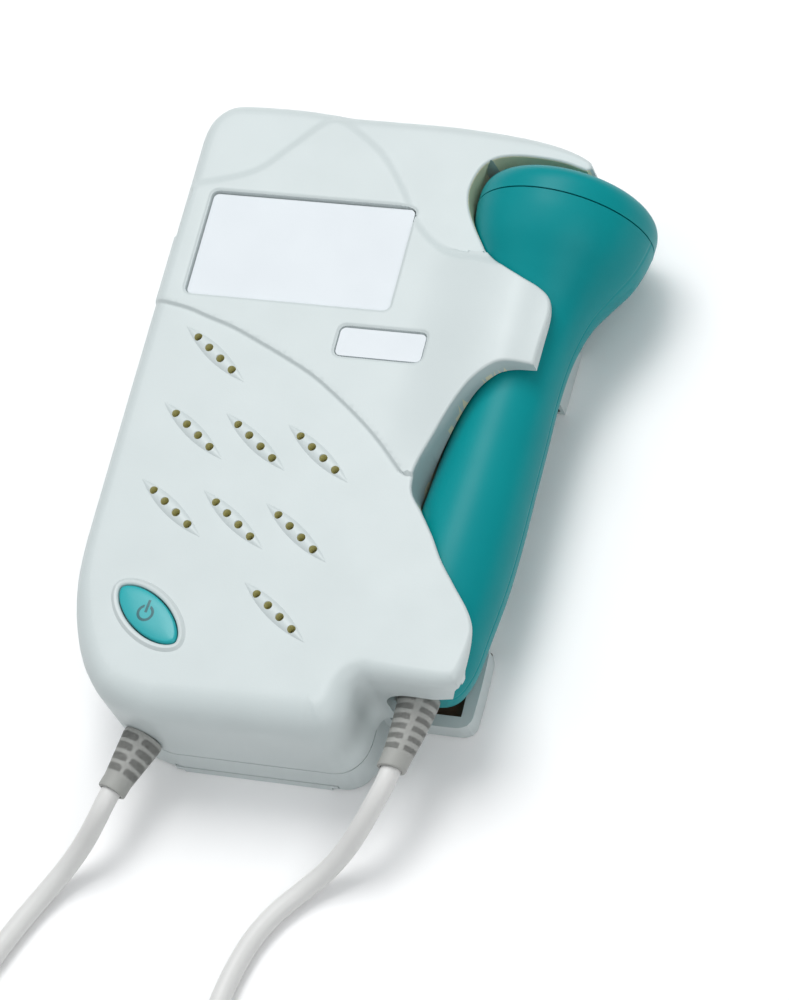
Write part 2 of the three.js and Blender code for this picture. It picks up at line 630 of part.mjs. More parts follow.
// The end wall's oblique stretch that the housing's cord leaves through, with its outward frame.
const [cordWallFrom, cordWallTo] = plan(TOP_LEFT_SHARES).slice(-2);
const cordWallAlong = new THREE.Vector3(cordWallTo.x - cordWallFrom.x, cordWallTo.y - cordWallFrom.y, 0);
const cordOutward = new THREE.Vector3(cordWallAlong.y, -cordWallAlong.x, 0).normalize();
const cordExitMatrix = new THREE.Matrix4().makeBasis(
  new THREE.Vector3(cordOutward.y, -cordOutward.x, 0),
  cordOutward,
  new THREE.Vector3(0, 0, 1),
);
cordExitMatrix.setPosition(
  (cordWallFrom.x + cordWallTo.x) / 2,
  (cordWallFrom.y + cordWallTo.y) / 2,
  CORD_EXIT_HEIGHT,
);

// A hole along Y in its own frame, through a wall that it starts outside of.
function sleeveHole() {
  const reach = WALL + CUT_OVERRUN;
  const geometry = new THREE.CylinderGeometry(
    RELIEF_PLUG_RADIUS + SEAT_GAP, RELIEF_PLUG_RADIUS + SEAT_GAP, 2 * reach, 2 * SMALL_ROUND_SIDES,
  );
  return solid(geometry);
}

// Front shell
const buttonTurn = BOSS_TURN;
const buttonOval = (margin) =>
  placed(oval(BUTTON_LENGTH + 2 * margin, BUTTON_WIDTH + 2 * margin), BUTTON_SHARES, buttonTurn);
const ringWidth = BUTTON_RING + BUTTON_CLEARANCE;
const labelFloor = raisedTop - LABEL_RECESS;
const nameFloor = raisedTop - NAME_RECESS;
const boardTop = BOARD_HEIGHT + BOARD_THICKNESS;
const wheelLow = boardTop + POT_HEIGHT + 2 * SEAT_GAP;
const wheelX = acrossHousing(WHEEL_SHARE);
const wheelY = HOUSING_LENGTH + WHEEL_PROUD - WHEEL_RADIUS;
const socketX = acrossHousing(SOCKET_SHARE);
const socketZ = boardTop + SEAT_GAP + SOCKET_HEIGHT / 2;

function frontShell() {
  const outline = plan(
    CHIN_SHARES, CHIN_CORNER_SHARES, CHEEK_SHARES, CLAW_LOWER_SHARES, CLAW_TIP_SHARES, CLAW_UPPER_SHARES,
    BAY_SHARES, RIM_SHARES, TOP_LEFT_SHARES,
  );
  const plateau = plan(
    ARC_SHARES, CLAW_LOWER_SHARES, CLAW_UPPER_SHARES, BELL_SHARES,
  );
  const bosses = speakerBosses();
  const ringFoot = buttonOval(ringWidth + RAISED_STEP);
  const ringCrown = buttonOval(ringWidth);
  const level = (ring, z) => ring.map((p) => ({ ...p, z }));
  const ring = loft([
    level(ringFoot, panelInside), level(ringFoot, PANEL_HEIGHT), level(ringCrown, PANEL_HEIGHT + BOSS_RISE),
  ]);
  const skin = joined(
    softBlock(outline, shellJoint, PANEL_HEIGHT),
    softBlock(plateau, panelInside, raisedTop),
    claw(),
  );
  const hollow = softBlock(bodyInside(), shellJoint - CUT_OVERRUN, panelInside, { thinner: WALL });
  const bayTop = raisedTop + CLAW_CREST + CUT_OVERRUN;
  const bayFar = acrossHousing(1) + CUT_OVERRUN;
  const bayEdge = plan(CLAW_UPPER_SHARES, BAY_SHARES);
  const bay = prism(
    [...bayEdge, { x: bayFar, y: bayEdge.at(-1).y }, { x: bayFar, y: bayEdge[0].y }],
    PARTING_HEIGHT - CUT_OVERRUN,
    bayTop,
  );
  const posts = screwPlaces.map(([x, y]) => rod(x, y, shellJoint, panelInside + WALL / 2, POST_RADIUS));
  const screwHoles = screwPlaces.map(([x, y]) =>
    rod(x, y, 0, SCREW_LENGTH + 2 * SEAT_GAP, SCREW_RADIUS + SCREW_CLEARANCE),
  );
  const carved = cut(
    skin,
    cut(hollow, posts),
    channel,
    cordArch(),
    bay,
    prism(roundedPlate(LABEL_SHARES), labelFloor, bayTop),
    prism(roundedPlate(NAME_SHARES), nameFloor, bayTop),
  );
  return cut(
    joined(carved, bosses.raised, ring),
    bosses.holes,
    screwHoles,
    prism(buttonOval(BUTTON_CLEARANCE), panelInside - CUT_OVERRUN, bayTop),
    moved(sleeveHole(), cordExitMatrix),
    wheelSlot(),
    socketHole(),
  );
}

// An ellipse with slightly drawn-out tips.
function oval(length, width) {
  return Array.from({ length: ROUND_SIDES }, (_, i) => {
    const turn = (2 * Math.PI * i) / ROUND_SIDES;
    const drawn = Math.abs(Math.sin(turn)) ** OVAL_POINT_SHARE;
    return { x: (length / 2) * Math.cos(turn), y: (width / 2) * Math.sign(Math.sin(turn)) * drawn };
  });
}

function wheelSlot() {
  const inner = HOUSING_LENGTH - WALL;
  const half = Math.sqrt(WHEEL_RADIUS ** 2 - (inner - wheelY) ** 2) + WHEEL_SLOT_CLEARANCE;
  const low = wheelLow - WHEEL_SLOT_CLEARANCE;
  const high = wheelLow + WHEEL_THICKNESS + WHEEL_SLOT_CLEARANCE;
  return box(wheelX - half, wheelX + half, inner - WALL / 2, inner + CUT_OVERRUN, low, high);
}

function socketHole() {
  const radius = SOCKET_RADIUS + SEAT_GAP;
  const reach = 2 * CUT_OVERRUN;
  const geometry = new THREE.CylinderGeometry(radius, radius, reach, 2 * SMALL_ROUND_SIDES);
  return solid(geometry.translate(socketX, HOUSING_LENGTH, socketZ));
}


// Rear shell, with the tray that the probe rests over
const doorX = acrossHousing(DOOR_CENTRE_SHARE);
const doorHalf = DOOR_WIDTH / 2;
const tongueHalf = doorHalf + TONGUE_WIDTH;
const ledge = DOOR_THICKNESS - SEAT_GAP;
const doorTop = DOOR_THICKNESS + TONGUE_THICKNESS;
const cellRoom = CELL_LENGTH + CELL_CAP_LENGTH + SPRING_LENGTH;
const contactLow = alongHousing(CHIN_SHARES[0][1]) + WALL + SEAT_GAP;
const cellsFrom = contactLow + CONTACT_THICKNESS + SEAT_GAP;
const cellsTo = cellsFrom + cellRoom + 2 * SEAT_GAP;
const bulkheadFrom = cellsTo + CONTACT_THICKNESS + 2 * SEAT_GAP;
const cellZ = doorTop + SEAT_GAP + CELL_RADIUS;
const bulkheadTop = cellZ;

function rearShell() {
  const low = -CUT_OVERRUN;
  const outline = plan(CHIN_SHARES, TRAY_SHARES, RIM_SHARES, TOP_LEFT_SHARES);
  const rearTop = PARTING_HEIGHT - SEAT_GAP / 2;
  const slab = loft([
    ...Array.from({ length: BACK_EDGE_STEPS + 1 }, (_, step) => {
      const turn = (Math.PI / 2) * (step / BACK_EDGE_STEPS);
      const ring = inset(outline, (p) => Math.min(BACK_EDGE_RADIUS, p.edge) * (1 - Math.sin(turn)));
      return ring.map((p) => ({ ...p, z: BACK_EDGE_RADIUS * (1 - Math.cos(turn)) }));
    }),
    outline.map((p) => ({ ...p, z: rearTop })),
  ]);
  const trayWall = acrossHousing(TRAY_SHARES[1][0]);
  const trayEnd = alongHousing(TRAY_SHARES[12][1]);
  const trayStart = alongHousing(TRAY_SHARES[1][1]);
  const far = acrossHousing(1) + CUT_OVERRUN;
  const aboveLips = box(trayWall, far, trayStart - CUT_OVERRUN, trayEnd, TRAY_LIP, rearTop + CUT_OVERRUN);
  const hookSide = acrossHousing(TRAY_SHARES[4][0]) - TRAY_LIP_WIDTH;
  const hookEnd = alongHousing(TRAY_SHARES[5][1]);
  const fingerStart = alongHousing(TRAY_SHARES[9][1]);
  const fingerEnd = alongHousing(TRAY_SHARES[10][1]);
  const fingerSide = acrossHousing(TRAY_SHARES[9][0]) - TRAY_LIP_WIDTH;
  const lipTop = TRAY_LIP + CUT_OVERRUN;
  const floorCuts = [
    box(trayWall, hookSide, trayStart + TRAY_LIP_WIDTH, hookEnd, TRAY_FLOOR, lipTop),
    box(trayWall, far, hookEnd, fingerStart, TRAY_FLOOR, lipTop),
    box(trayWall, fingerSide, fingerStart - SEAT_GAP, fingerEnd, TRAY_FLOOR, lipTop),
  ];
  const hollow = prism(bodyInside(), WALL, rearTop + CUT_OVERRUN);
  const doorWay = [
    box(doorX - doorHalf - SEAT_GAP, doorX + doorHalf + SEAT_GAP, low, DOOR_LENGTH, low, ledge + SEAT_GAP),
    box(
      doorX - tongueHalf - SEAT_GAP, doorX + tongueHalf + SEAT_GAP,
      low, DOOR_LENGTH, ledge, doorTop + SEAT_GAP,
    ),
  ];
  const ribs = RIB_SHARES.map((share) => {
    const y = alongHousing(share);
    return box(trayWall - WALL, acrossHousing(TRAY_SHARES[8][0]), y, y + RIB_WIDTH, WALL / 2, rearTop);
  });
  const posts = screwPlaces.map(([x, y]) => rod(x, y, WALL / 2, rearTop, POST_RADIUS));
  const boardPosts = boardPostPlaces.map(([x, y, top]) => rod(x, y, WALL / 2, top, BOARD_POST_RADIUS));
  const bulkhead = box(
    doorX - tongueHalf, doorX + tongueHalf, bulkheadFrom, bulkheadFrom + WALL, WALL / 2, bulkheadTop,
  );
  const heads = screwPlaces.map(([x, y]) =>
    rod(x, y, low, SCREW_HEAD_HEIGHT + 2 * SEAT_GAP, SCREW_HEAD_RADIUS + SCREW_CLEARANCE),
  );
  const shanks = screwPlaces.map(([x, y]) => rod(x, y, low, rearTop, SCREW_RADIUS + SCREW_CLEARANCE));
  const carved = cut(slab, aboveLips, floorCuts, channel, hollow, doorWay);
  return cut(
    joined(carved, posts, boardPosts, bulkhead, cut(joined(ribs), channel)),
    heads,
    shanks,
    moved(sleeveHole(), cordExitMatrix),
  );
}

const boardPostPlaces = [
  ...POST_SHARES.map(([x, y]) => [acrossHousing(x), alongHousing(y), BOARD_HEIGHT - SEAT_GAP]),
  ...BUTTON_POST_SHARES.map(([x, y]) => [
    acrossHousing(x), alongHousing(y), BUTTON_BOARD_HEIGHT - SEAT_GAP,
  ]),
];

addPiece("front_shell", frontShell(), "shell");
addPiece("rear_shell", rearShell(), "shell");

// Battery door: a flat plate with side tongues and a few grip grooves, sliding toward the bottom end.
function batteryDoor() {
  const end = DOOR_LENGTH - SEAT_GAP;
  const start = alongHousing(CHIN_SHARES[0][1]);
  const plate = box(doorX - doorHalf, doorX + doorHalf, start, end, 0, DOOR_THICKNESS);
  const tongue = box(doorX - tongueHalf, doorX + tongueHalf, start, end, DOOR_THICKNESS, doorTop);
  const grooves = Array.from({ length: DOOR_GROOVES }, (_, i) => {
    const y = start + DOOR_GROOVE_START + DOOR_GROOVE_PITCH * i;
    const half = doorHalf / 2;
    return box(doorX - half, doorX + half, y, y + DOOR_GROOVE_WIDTH, -CUT_OVERRUN, DOOR_GROOVE_DEPTH);
  });
  return cut(joined(plate, tongue), grooves);
}
addPiece("battery_door", batteryDoor(), "shell");

// Two cells side by side, one the other way round.
function batteryCell(side) {
  const shape = turned([
    [0, 0], [CELL_RADIUS, 0], [CELL_RADIUS, CELL_LENGTH], [CELL_CAP_RADIUS, CELL_LENGTH],
    [CELL_CAP_RADIUS, CELL_LENGTH + CELL_CAP_LENGTH], [0, CELL_LENGTH + CELL_CAP_LENGTH],
  ], 2 * SMALL_ROUND_SIDES);
  const x = doorX + (side * CELL_SPACING) / 2;
  const matrix = new THREE.Matrix4();
  if (side > 0) matrix.makeRotationX(Math.PI);
  const tip = cellsFrom + CELL_LENGTH + CELL_CAP_LENGTH + SEAT_GAP;
  const y = side > 0 ? tip : cellsTo - cellRoom + SPRING_LENGTH;
  return moved(shape, matrix.setPosition(x, y, cellZ));
}
addPiece("battery_cell_1", batteryCell(-1), "cell");
addPiece("battery_cell_2", batteryCell(1), "cell");

// The contact plates at both ends, and the coil springs that press on the cells' flat ends.
function batteryContact(from) {
  const half = tongueHalf - WALL;
  return box(
    doorX - half, doorX + half, from, from + CONTACT_THICKNESS, doorTop + 2 * SEAT_GAP, bulkheadTop,
  );
}
addPiece("battery_contact_low", batteryContact(contactLow), "steel");
addPiece("battery_contact_high", batteryContact(cellsTo + SEAT_GAP), "steel");

class SpringCurve extends THREE.Curve {
  getPoint(t, target = new THREE.Vector3()) {
    const turn = 2 * Math.PI * SPRING_TURNS * t;
    const radius = SPRING_RADIUS * (1 - SPRING_TAPER_SHARE * t);
    const length = SPRING_LENGTH - 2 * SPRING_WIRE - 2 * SEAT_GAP;
    return target.set(radius * Math.cos(turn), length * (t - 1 / 2), radius * Math.sin(turn));
  }
}

function tube(curve, radius, sides, steps) {
  const section = Array.from({ length: sides }, (_, i) => {
    const turn = (2 * Math.PI * i) / sides;
    return new THREE.Vector2(radius * Math.cos(turn), radius * Math.sin(turn));
  });
  return new THREE.ExtrudeGeometry(new THREE.Shape(section), { steps, extrudePath: curve });
}

function batterySpring(side) {
  const spring = solid(tube(new SpringCurve(), SPRING_WIRE, WIRE_SIDES, SPRING_STEPS * SPRING_TURNS));
  const matrix = new THREE.Matrix4();
  if (side > 0) matrix.makeRotationX(Math.PI);
  const middle = side > 0 ? cellsTo - SPRING_LENGTH / 2 : cellsFrom + SPRING_LENGTH / 2;
  return moved(spring, matrix.setPosition(doorX + (side * CELL_SPACING) / 2, middle, cellZ));
}
addPiece("battery_spring_1", batterySpring(-1), "steel");
addPiece("battery_spring_2", batterySpring(1), "steel");

// Screws from the back into the front shell's posts.
function shellScrew([x, y]) {
  const low = 2 * SEAT_GAP;
  return joined(
    rod(x, y, low, low + SCREW_HEAD_HEIGHT - SEAT_GAP, SCREW_HEAD_RADIUS),
    rod(x, y, low, low + SCREW_LENGTH - SEAT_GAP, SCREW_RADIUS, HOLE_SIDES),
  );
}
screwPlaces.forEach((place, i) => addPiece(`shell_screw_${i + 1}`, shellScrew(place), "steel"));

// Printed plates in the two recesses of the plateau.
const platePrism = (sides, floor) =>
  prism(roundedPlate(sides, SEAT_GAP), floor + SEAT_GAP, floor + SEAT_GAP + PLATE_THICKNESS);
addPiece("front_label", platePrism(LABEL_SHARES, labelFloor), "plate");
addPiece("name_plate", platePrism(NAME_SHARES, nameFloor), "plate");

// Dark cloth behind the boss holes, clear of the button.
const clothTop = panelInside - SEAT_GAP;
const clothLow = clothTop - CLOTH_THICKNESS;
const clothOutline = plan(CLOTH_SHARES);
addPiece("grille_cloth", prism(clothOutline, clothLow, clothTop), "cloth");

// Speaker: basket, cone and magnet on one axis.
const [speakerX, speakerY] = [acrossHousing(SPEAKER_SHARES[0]), alongHousing(SPEAKER_SHARES[1])];
const flangeTop = clothLow - SEAT_GAP;
const basketLow = flangeTop - SPEAKER_DEPTH;
function turnedUpright(rows, sides) {
  const upright = new THREE.Matrix4().makeRotationX(Math.PI / 2).setPosition(speakerX, speakerY, 0);
  return moved(turned(rows, sides), upright);
}
const throatRadius = MAGNET_RADIUS - SPEAKER_FLANGE;
const surroundRadius = SPEAKER_RADIUS - SPEAKER_FLANGE;
addPiece("speaker_frame", turnedUpright([
  [throatRadius, basketLow], [MAGNET_RADIUS, basketLow],
  [surroundRadius + SPEAKER_FLANGE_THICKNESS, flangeTop - 2 * SPEAKER_FLANGE_THICKNESS],
  [SPEAKER_RADIUS, flangeTop - SPEAKER_FLANGE_THICKNESS], [SPEAKER_RADIUS, flangeTop],
  [surroundRadius, flangeTop], [surroundRadius, flangeTop - 2 * SPEAKER_FLANGE_THICKNESS],
  [MAGNET_RADIUS, basketLow + SPEAKER_FLANGE_THICKNESS],
  [throatRadius, basketLow + SPEAKER_FLANGE_THICKNESS], [throatRadius, basketLow],
]), "dark");
const coneRim = surroundRadius - SEAT_GAP;
const coneHigh = flangeTop - CONE_THICKNESS;
const coneLow = basketLow + SPEAKER_FLANGE_THICKNESS + 2 * SEAT_GAP;
addPiece("speaker_cone", turnedUpright([
  [0, coneLow], [throatRadius, coneLow], [coneRim, coneHigh - CONE_THICKNESS], [coneRim, coneHigh],
  [throatRadius, coneLow + 2 * CONE_THICKNESS], [0, coneLow + 2 * CONE_THICKNESS],
]), "cone");
const magnetTop = basketLow - SEAT_GAP;
addPiece("speaker_magnet", rod(
  speakerX, speakerY, magnetTop - MAGNET_THICKNESS, magnetTop, MAGNET_RADIUS, ROUND_SIDES,
), "steel");

// Main board with its parts.
function mainBoard() {
  const outline = plan(BOARD_SHARES);
  const holes = screwPlaces.map(([x, y]) =>
    rod(x, y, 0, PANEL_HEIGHT, POST_RADIUS + 2 * SEAT_GAP),
  );
  return cut(prism(outline, BOARD_HEIGHT, boardTop), holes);
}
addPiece("main_board", mainBoard(), "board");
CHIP_SHARES.forEach(([x, y], i) => {
  const [cx, cy, half] = [acrossHousing(x), alongHousing(y), CHIP_SIDE / 2];
  const low = boardTop + SEAT_GAP;
  const chip = box(cx - half, cx + half, cy - half, cy + half, low, low + CHIP_HEIGHT);
  addPiece(`board_chip_${i + 1}`, chip, "dark");
});

// Volume control: the pot on the board and the notched wheel that looks out of the top end.
const potLow = boardTop + SEAT_GAP;
addPiece("volume_pot", joined(
  rod(wheelX, wheelY, potLow, potLow + POT_HEIGHT, POT_RADIUS, 2 * SMALL_ROUND_SIDES),
  rod(wheelX, wheelY, potLow, wheelLow + WHEEL_THICKNESS, POT_SHAFT_RADIUS),
), "dark");
function volumeWheel() {
  const disc = rod(wheelX, wheelY, wheelLow, wheelLow + WHEEL_THICKNESS, WHEEL_RADIUS, 2 * WHEEL_NOTCHES);
  const notches = Array.from({ length: WHEEL_NOTCHES }, (_, i) => {
    const turn = (2 * Math.PI * i) / WHEEL_NOTCHES;
    const [x, y] = [wheelX + WHEEL_RADIUS * Math.sin(turn), wheelY + WHEEL_RADIUS * Math.cos(turn)];
    return rod(x, y, 0, PANEL_HEIGHT, WHEEL_NOTCH_RADIUS, NOTCH_SIDES);
  });
  const bore = rod(wheelX, wheelY, 0, PANEL_HEIGHT, POT_SHAFT_RADIUS + SEAT_GAP);
  return cut(disc, notches, bore);
}
addPiece("volume_wheel", volumeWheel(), "dark");

// Earphone socket: a body on the board with its barrel in the top end's hole.
function earphoneSocket() {
  const half = SOCKET_BODY / 2;
  const wallY = alongHousing(SOCKET_WALL_SHARE);
  const inner = wallY - WALL - SEAT_GAP;
  const low = boardTop + SEAT_GAP;
  const body = box(socketX - half, socketX + half, inner - SOCKET_BODY, inner, low, low + SOCKET_HEIGHT);
  const length = WALL + 2 * SEAT_GAP + SOCKET_PROUD;
  const barrel = new THREE.CylinderGeometry(SOCKET_RADIUS, SOCKET_RADIUS, 2 * length, 2 * SMALL_ROUND_SIDES);
  const bore = new THREE.CylinderGeometry(
    SOCKET_BORE_RADIUS, SOCKET_BORE_RADIUS, 2 * SOCKET_BODY, SMALL_ROUND_SIDES,
  );
  return cut(
    joined(body, solid(barrel.translate(socketX, inner, socketZ))),
    solid(bore.translate(socketX, wallY, socketZ)),
  );
}
addPiece("earphone_socket", earphoneSocket(), "dark");

// Power button over its switch, on a small board of its own.
const [buttonX, buttonY] = [acrossHousing(BUTTON_SHARES[0]), alongHousing(BUTTON_SHARES[1])];
const buttonBoardTop = BUTTON_BOARD_HEIGHT + BOARD_THICKNESS;
const switchLow = buttonBoardTop + SEAT_GAP;
const plungerTop = switchLow + SWITCH_HEIGHT + PLUNGER_HEIGHT;
function powerButton() {
  const flangeTop = panelInside - SEAT_GAP;
  const flangeLow = flangeTop - BUTTON_FLANGE_THICKNESS;
  const level = (margin, z) => buttonOval(margin).map((p) => ({ ...p, z }));
  const crown = PANEL_HEIGHT + BUTTON_PROUD;
  const cap = loft([
    level(0, flangeLow), level(0, crown - BUTTON_PROUD / 2),
    level(-BUTTON_PROUD / 2, crown - BUTTON_PROUD / 8), level(-2 * BUTTON_PROUD, crown),
  ]);
  const flange = prism(buttonOval(BUTTON_FLANGE), flangeLow, flangeTop);
  const stem = rod(buttonX, buttonY, plungerTop + BUTTON_TRAVEL + SEAT_GAP / 2, flangeTop, STEM_RADIUS);
  return joined(cap, flange, stem);
}
addPiece("power_button", powerButton(), "button");
addPiece("button_board", prism(plan(BUTTON_BOARD_SHARES), BUTTON_BOARD_HEIGHT, buttonBoardTop), "board");
addPiece("button_switch", joined(
  box(
    buttonX - SWITCH_SIDE / 2, buttonX + SWITCH_SIDE / 2, buttonY - SWITCH_SIDE / 2,
    buttonY + SWITCH_SIDE / 2, switchLow, switchLow + SWITCH_HEIGHT,
  ),
  rod(buttonX, buttonY, switchLow, plungerTop, PLUNGER_RADIUS),
), "dark");

// Probe: two turned halves, parted level with the axis, and a cap over the crystals.
const probeProfile = PROBE_PROFILE_SHARES.map(([along, share]) => [
  share * PROBE_HEAD_RADIUS, (along - 1) * PROBE_LENGTH,
]);
function probeHalf(side) {
  const outer = probeProfile.map(([radius, y]) => [radius, y - SEAT_GAP / 2]);
  const top = outer.at(-1)[1];
  const body = turned([[0, outer[0][1]], ...outer, [0, top]]);
  const hollowRows = outer.slice(1).filter((_, i) => i % 2 === 1);
  const hollow = turned([
    [0, hollowRows[0][1]],
    ...hollowRows.map(([radius, y]) => [radius - PROBE_WALL, y]),
    [PROBE_HEAD_RADIUS - PROBE_WALL, top + CUT_OVERRUN], [0, top + CUT_OVERRUN],
  ]);
  const cordHole = new THREE.CylinderGeometry(
    RELIEF_PLUG_RADIUS + SEAT_GAP, RELIEF_PLUG_RADIUS + SEAT_GAP, 2 * CUT_OVERRUN, SMALL_ROUND_SIDES,
  ).translate(0, -PROBE_LENGTH, 0);
  const wide = 2 * PROBE_HEAD_RADIUS;
  const [low, high] = side > 0 ? [-wide, SEAT_GAP / 2] : [-SEAT_GAP / 2, wide];
  const otherHalf = box(-wide, wide, -2 * PROBE_LENGTH, wide, low, high);
  return cut(body, hollow, solid(cordHole), otherHalf);
}
addPiece("probe_front_half", probeHalf(1), "teal", probeFrame);
addPiece("probe_rear_half", probeHalf(-1), "teal", probeFrame);

const capInside = PROBE_CAP_DEPTH - PROBE_WALL;
function probeCap() {
  const outer = CAP_PROFILE_SHARES.map(([along, share]) => [
    share * PROBE_HEAD_RADIUS, SEAT_GAP / 2 + along * (PROBE_CAP_DEPTH - SEAT_GAP / 2),
  ]);
  const inner = PROBE_HEAD_RADIUS - PROBE_WALL;
  const roof = [[0, capInside], [inner / 2, capInside], [inner, SEAT_GAP]];
  return turned([...roof, [inner, SEAT_GAP / 2], ...outer]);
}
addPiece("probe_face_cap", probeCap(), "teal", probeFrame);

// Two half-round crystals behind the cap, and the backing block that they are bonded to.
function crystal(side) {
  const disc = new THREE.CylinderGeometry(
    CRYSTAL_RADIUS, CRYSTAL_RADIUS, CRYSTAL_THICKNESS, 2 * SMALL_ROUND_SIDES,
  ).translate(0, capInside - SEAT_GAP - CRYSTAL_THICKNESS / 2, 0);
  const wide = 2 * CRYSTAL_RADIUS;
  const [low, high] = side > 0 ? [-wide, SEAT_GAP] : [-SEAT_GAP, wide];
  return cut(solid(disc), box(low, high, -wide, wide, -wide, wide));
}
addPiece("transducer_disc_1", crystal(1), "ceramic", probeFrame);
addPiece("transducer_disc_2", crystal(-1), "ceramic", probeFrame);
const backingTop = capInside - CRYSTAL_THICKNESS - 2 * SEAT_GAP;
addPiece("transducer_backing", turned([
  [0, backingTop - BACKING_THICKNESS], [CRYSTAL_RADIUS, backingTop - BACKING_THICKNESS],
  [CRYSTAL_RADIUS, backingTop], [0, backingTop],
]), "dark", probeFrame);

// A cord sleeve along +Y: a tapered body with four columns of slots, a plug through the wall, a nut.
// The lean is how far the cord has bent the sleeve's tip toward -X.
function strainRelief(length, wall, slots, lean = 0) {
  const nutHigh = -wall - RELIEF_NUT_GAP;
  const nutLow = nutHigh - RELIEF_NUT_LENGTH;
  const tip = SEAT_GAP + length;
  const first = SEAT_GAP + RELIEF_SLOT_DEPTH;
  const pitch = (tip - RELIEF_COLLAR - first) / slots;
  const taper = Array.from({ length: slots }, (_, i) => [
    THREE.MathUtils.lerp(RELIEF_ROOT_RADIUS, RELIEF_TIP_RADIUS, (i + 1) / slots),
    first + pitch * (i + 1),
  ]);
  const body = turned([
    [0, nutLow], [RELIEF_NUT_RADIUS, nutLow], [RELIEF_NUT_RADIUS, nutHigh],
    [RELIEF_PLUG_RADIUS, nutHigh], [RELIEF_PLUG_RADIUS, SEAT_GAP], [RELIEF_ROOT_RADIUS, SEAT_GAP],
    ...taper, [RELIEF_TIP_RADIUS, tip], [0, tip],
  ], 2 * SMALL_ROUND_SIDES);
  const columns = [0, 1, 2, 3].flatMap((column) =>
    Array.from({ length: slots }, (_, i) => {
      const radius = THREE.MathUtils.lerp(RELIEF_ROOT_RADIUS, RELIEF_TIP_RADIUS, i / slots);
      const width = (RELIEF_SLOT_WIDTH * radius) / RELIEF_ROOT_RADIUS;
      const geometry = new THREE.BoxGeometry(CUT_OVERRUN, pitch / 2, width);
      geometry.translate(radius - RELIEF_SLOT_DEPTH + CUT_OVERRUN / 2, first + pitch * (i + 1 / 4), 0);
      return solid(geometry.rotateY((Math.PI / 2) * (column + 1 / 2)));
    }),
  );
  return cut(body, columns).warp((corner) => {
    corner[0] -= lean * Math.max((corner[1] - SEAT_GAP) / length, 0) ** 2;
  });
}
addPiece("probe_strain_relief", moved(
  strainRelief(
    PROBE_RELIEF_LENGTH, PROBE_PROFILE_SHARES[2][0] * PROBE_LENGTH, PROBE_RELIEF_SLOTS, PROBE_RELIEF_LEAN,
  ),
  new THREE.Matrix4().makeRotationX(Math.PI).setPosition(0, -PROBE_LENGTH, 0),
), "relief", probeFrame);
addPiece("housing_strain_relief", moved(
  strainRelief(HOUSING_RELIEF_LENGTH, WALL, HOUSING_RELIEF_SLOTS), cordExitMatrix,
), "relief");

monitor.updateMatrixWorld(true);

// The object stands on its back, its box centred over the origin.
const bounds = new THREE.Box3().setFromObject(monitor, true);
const middle = bounds.getCenter(new THREE.Vector3());
monitor.position.set(-middle.x, -middle.y, -bounds.min.z);
monitor.updateMatrixWorld(true);

// Cord: it leaves the housing, is wound up in a tied coil below it, and comes back to the probe.
const coilLift = TIE_THICKNESS + TIE_SLACK;
const layPitch = 2 * CORD_RADIUS + CORD_LAY_GAP;
const layerLoops = COIL_LOOPS / 2;
const coilOuter = COIL_MEAN_RADIUS + (layerLoops * layPitch) / 2;

// A point of the coil after so many loops: it spirals in, climbs a layer as it turns back, spirals out.
function coilPoint(loops) {
  const radius = coilOuter - layPitch * (layerLoops - Math.abs(loops - layerLoops));
  const climbed = THREE.MathUtils.clamp(2 * (loops - layerLoops) + 1 / 2, 0, 1);
  const height = coilLift + CORD_RADIUS + layPitch * smooth(climbed, 0, 1);
  const turn = Math.PI + 2 * Math.PI * loops;
  const [x, y] = COIL_CENTRE;
  return new THREE.Vector3(x + radius * Math.cos(turn), y + radius * Math.sin(turn), height);
}

// Rings of corners round each point, each ring square to the way there, capped at both ends.
function tubeThrough(points, radius, sides) {
  const up = new THREE.Vector3(0, 0, 1);
  const rings = points.map((point, i) => {
    const before = points[Math.max(i - 1, 0)];
    const after = points[Math.min(i + 1, points.length - 1)];
    const along = after.clone().sub(before).normalize();
    const side = new THREE.Vector3().crossVectors(along, up).normalize();
    const over = new THREE.Vector3().crossVectors(side, along);
    return Array.from({ length: sides }, (_, k) => {
      const turn = (2 * Math.PI * k) / sides;
      return point.clone()
        .addScaledVector(side, radius * Math.cos(turn))
        .addScaledVector(over, radius * Math.sin(turn));
    });
  });
  const count = sides * rings.length;
  const index = [];
  for (let i = 0; i < count - sides; i += 1) {
    const next = (i + 1) % sides ? i + 1 : i + 1 - sides;
    index.push(i, next, next + sides, i, next + sides, i + sides);
  }
  for (let k = 1; k < sides - 1; k += 1) {
    index.push(0, k + 1, k, count - sides, count - sides + k, count - sides + k + 1);
  }
  const geometry = new THREE.BufferGeometry();
  const places = rings.flat().flatMap((p) => [...p]);
  geometry.setAttribute("position", new THREE.Float32BufferAttribute(places, 3));
  geometry.setIndex(index);
  return solid(geometry);
}

const loopSteps = COIL_LOOPS * LOOP_STEPS;
const coilLine = Array.from({ length: loopSteps + 1 }, (_, i) => coilPoint(i / LOOP_STEPS));
const lead = new THREE.Vector3(0, 2 * CORD_RADIUS, 0);
coilLine.unshift(coilLine[0].clone().add(lead));
coilLine.push(coilLine.at(-1).clone().add(lead));

// The least gap between turns of the coil, measured on points at least half a loop apart.
let leastGap = Infinity;
coilLine.forEach((point, i) => {
  for (let j = i + LOOP_STEPS / 2; j < coilLine.length; j += 1) {
    leastGap = Math.min(leastGap, point.distanceTo(coilLine[j]) - 2 * CORD_RADIUS);
  }
});
console.log(`least gap between the coil's turns: ${leastGap.toFixed(2)} mm`);
addPiece("cord_coil", tubeThrough(coilLine, CORD_RADIUS, LOOP_SIDES), "cord", root);

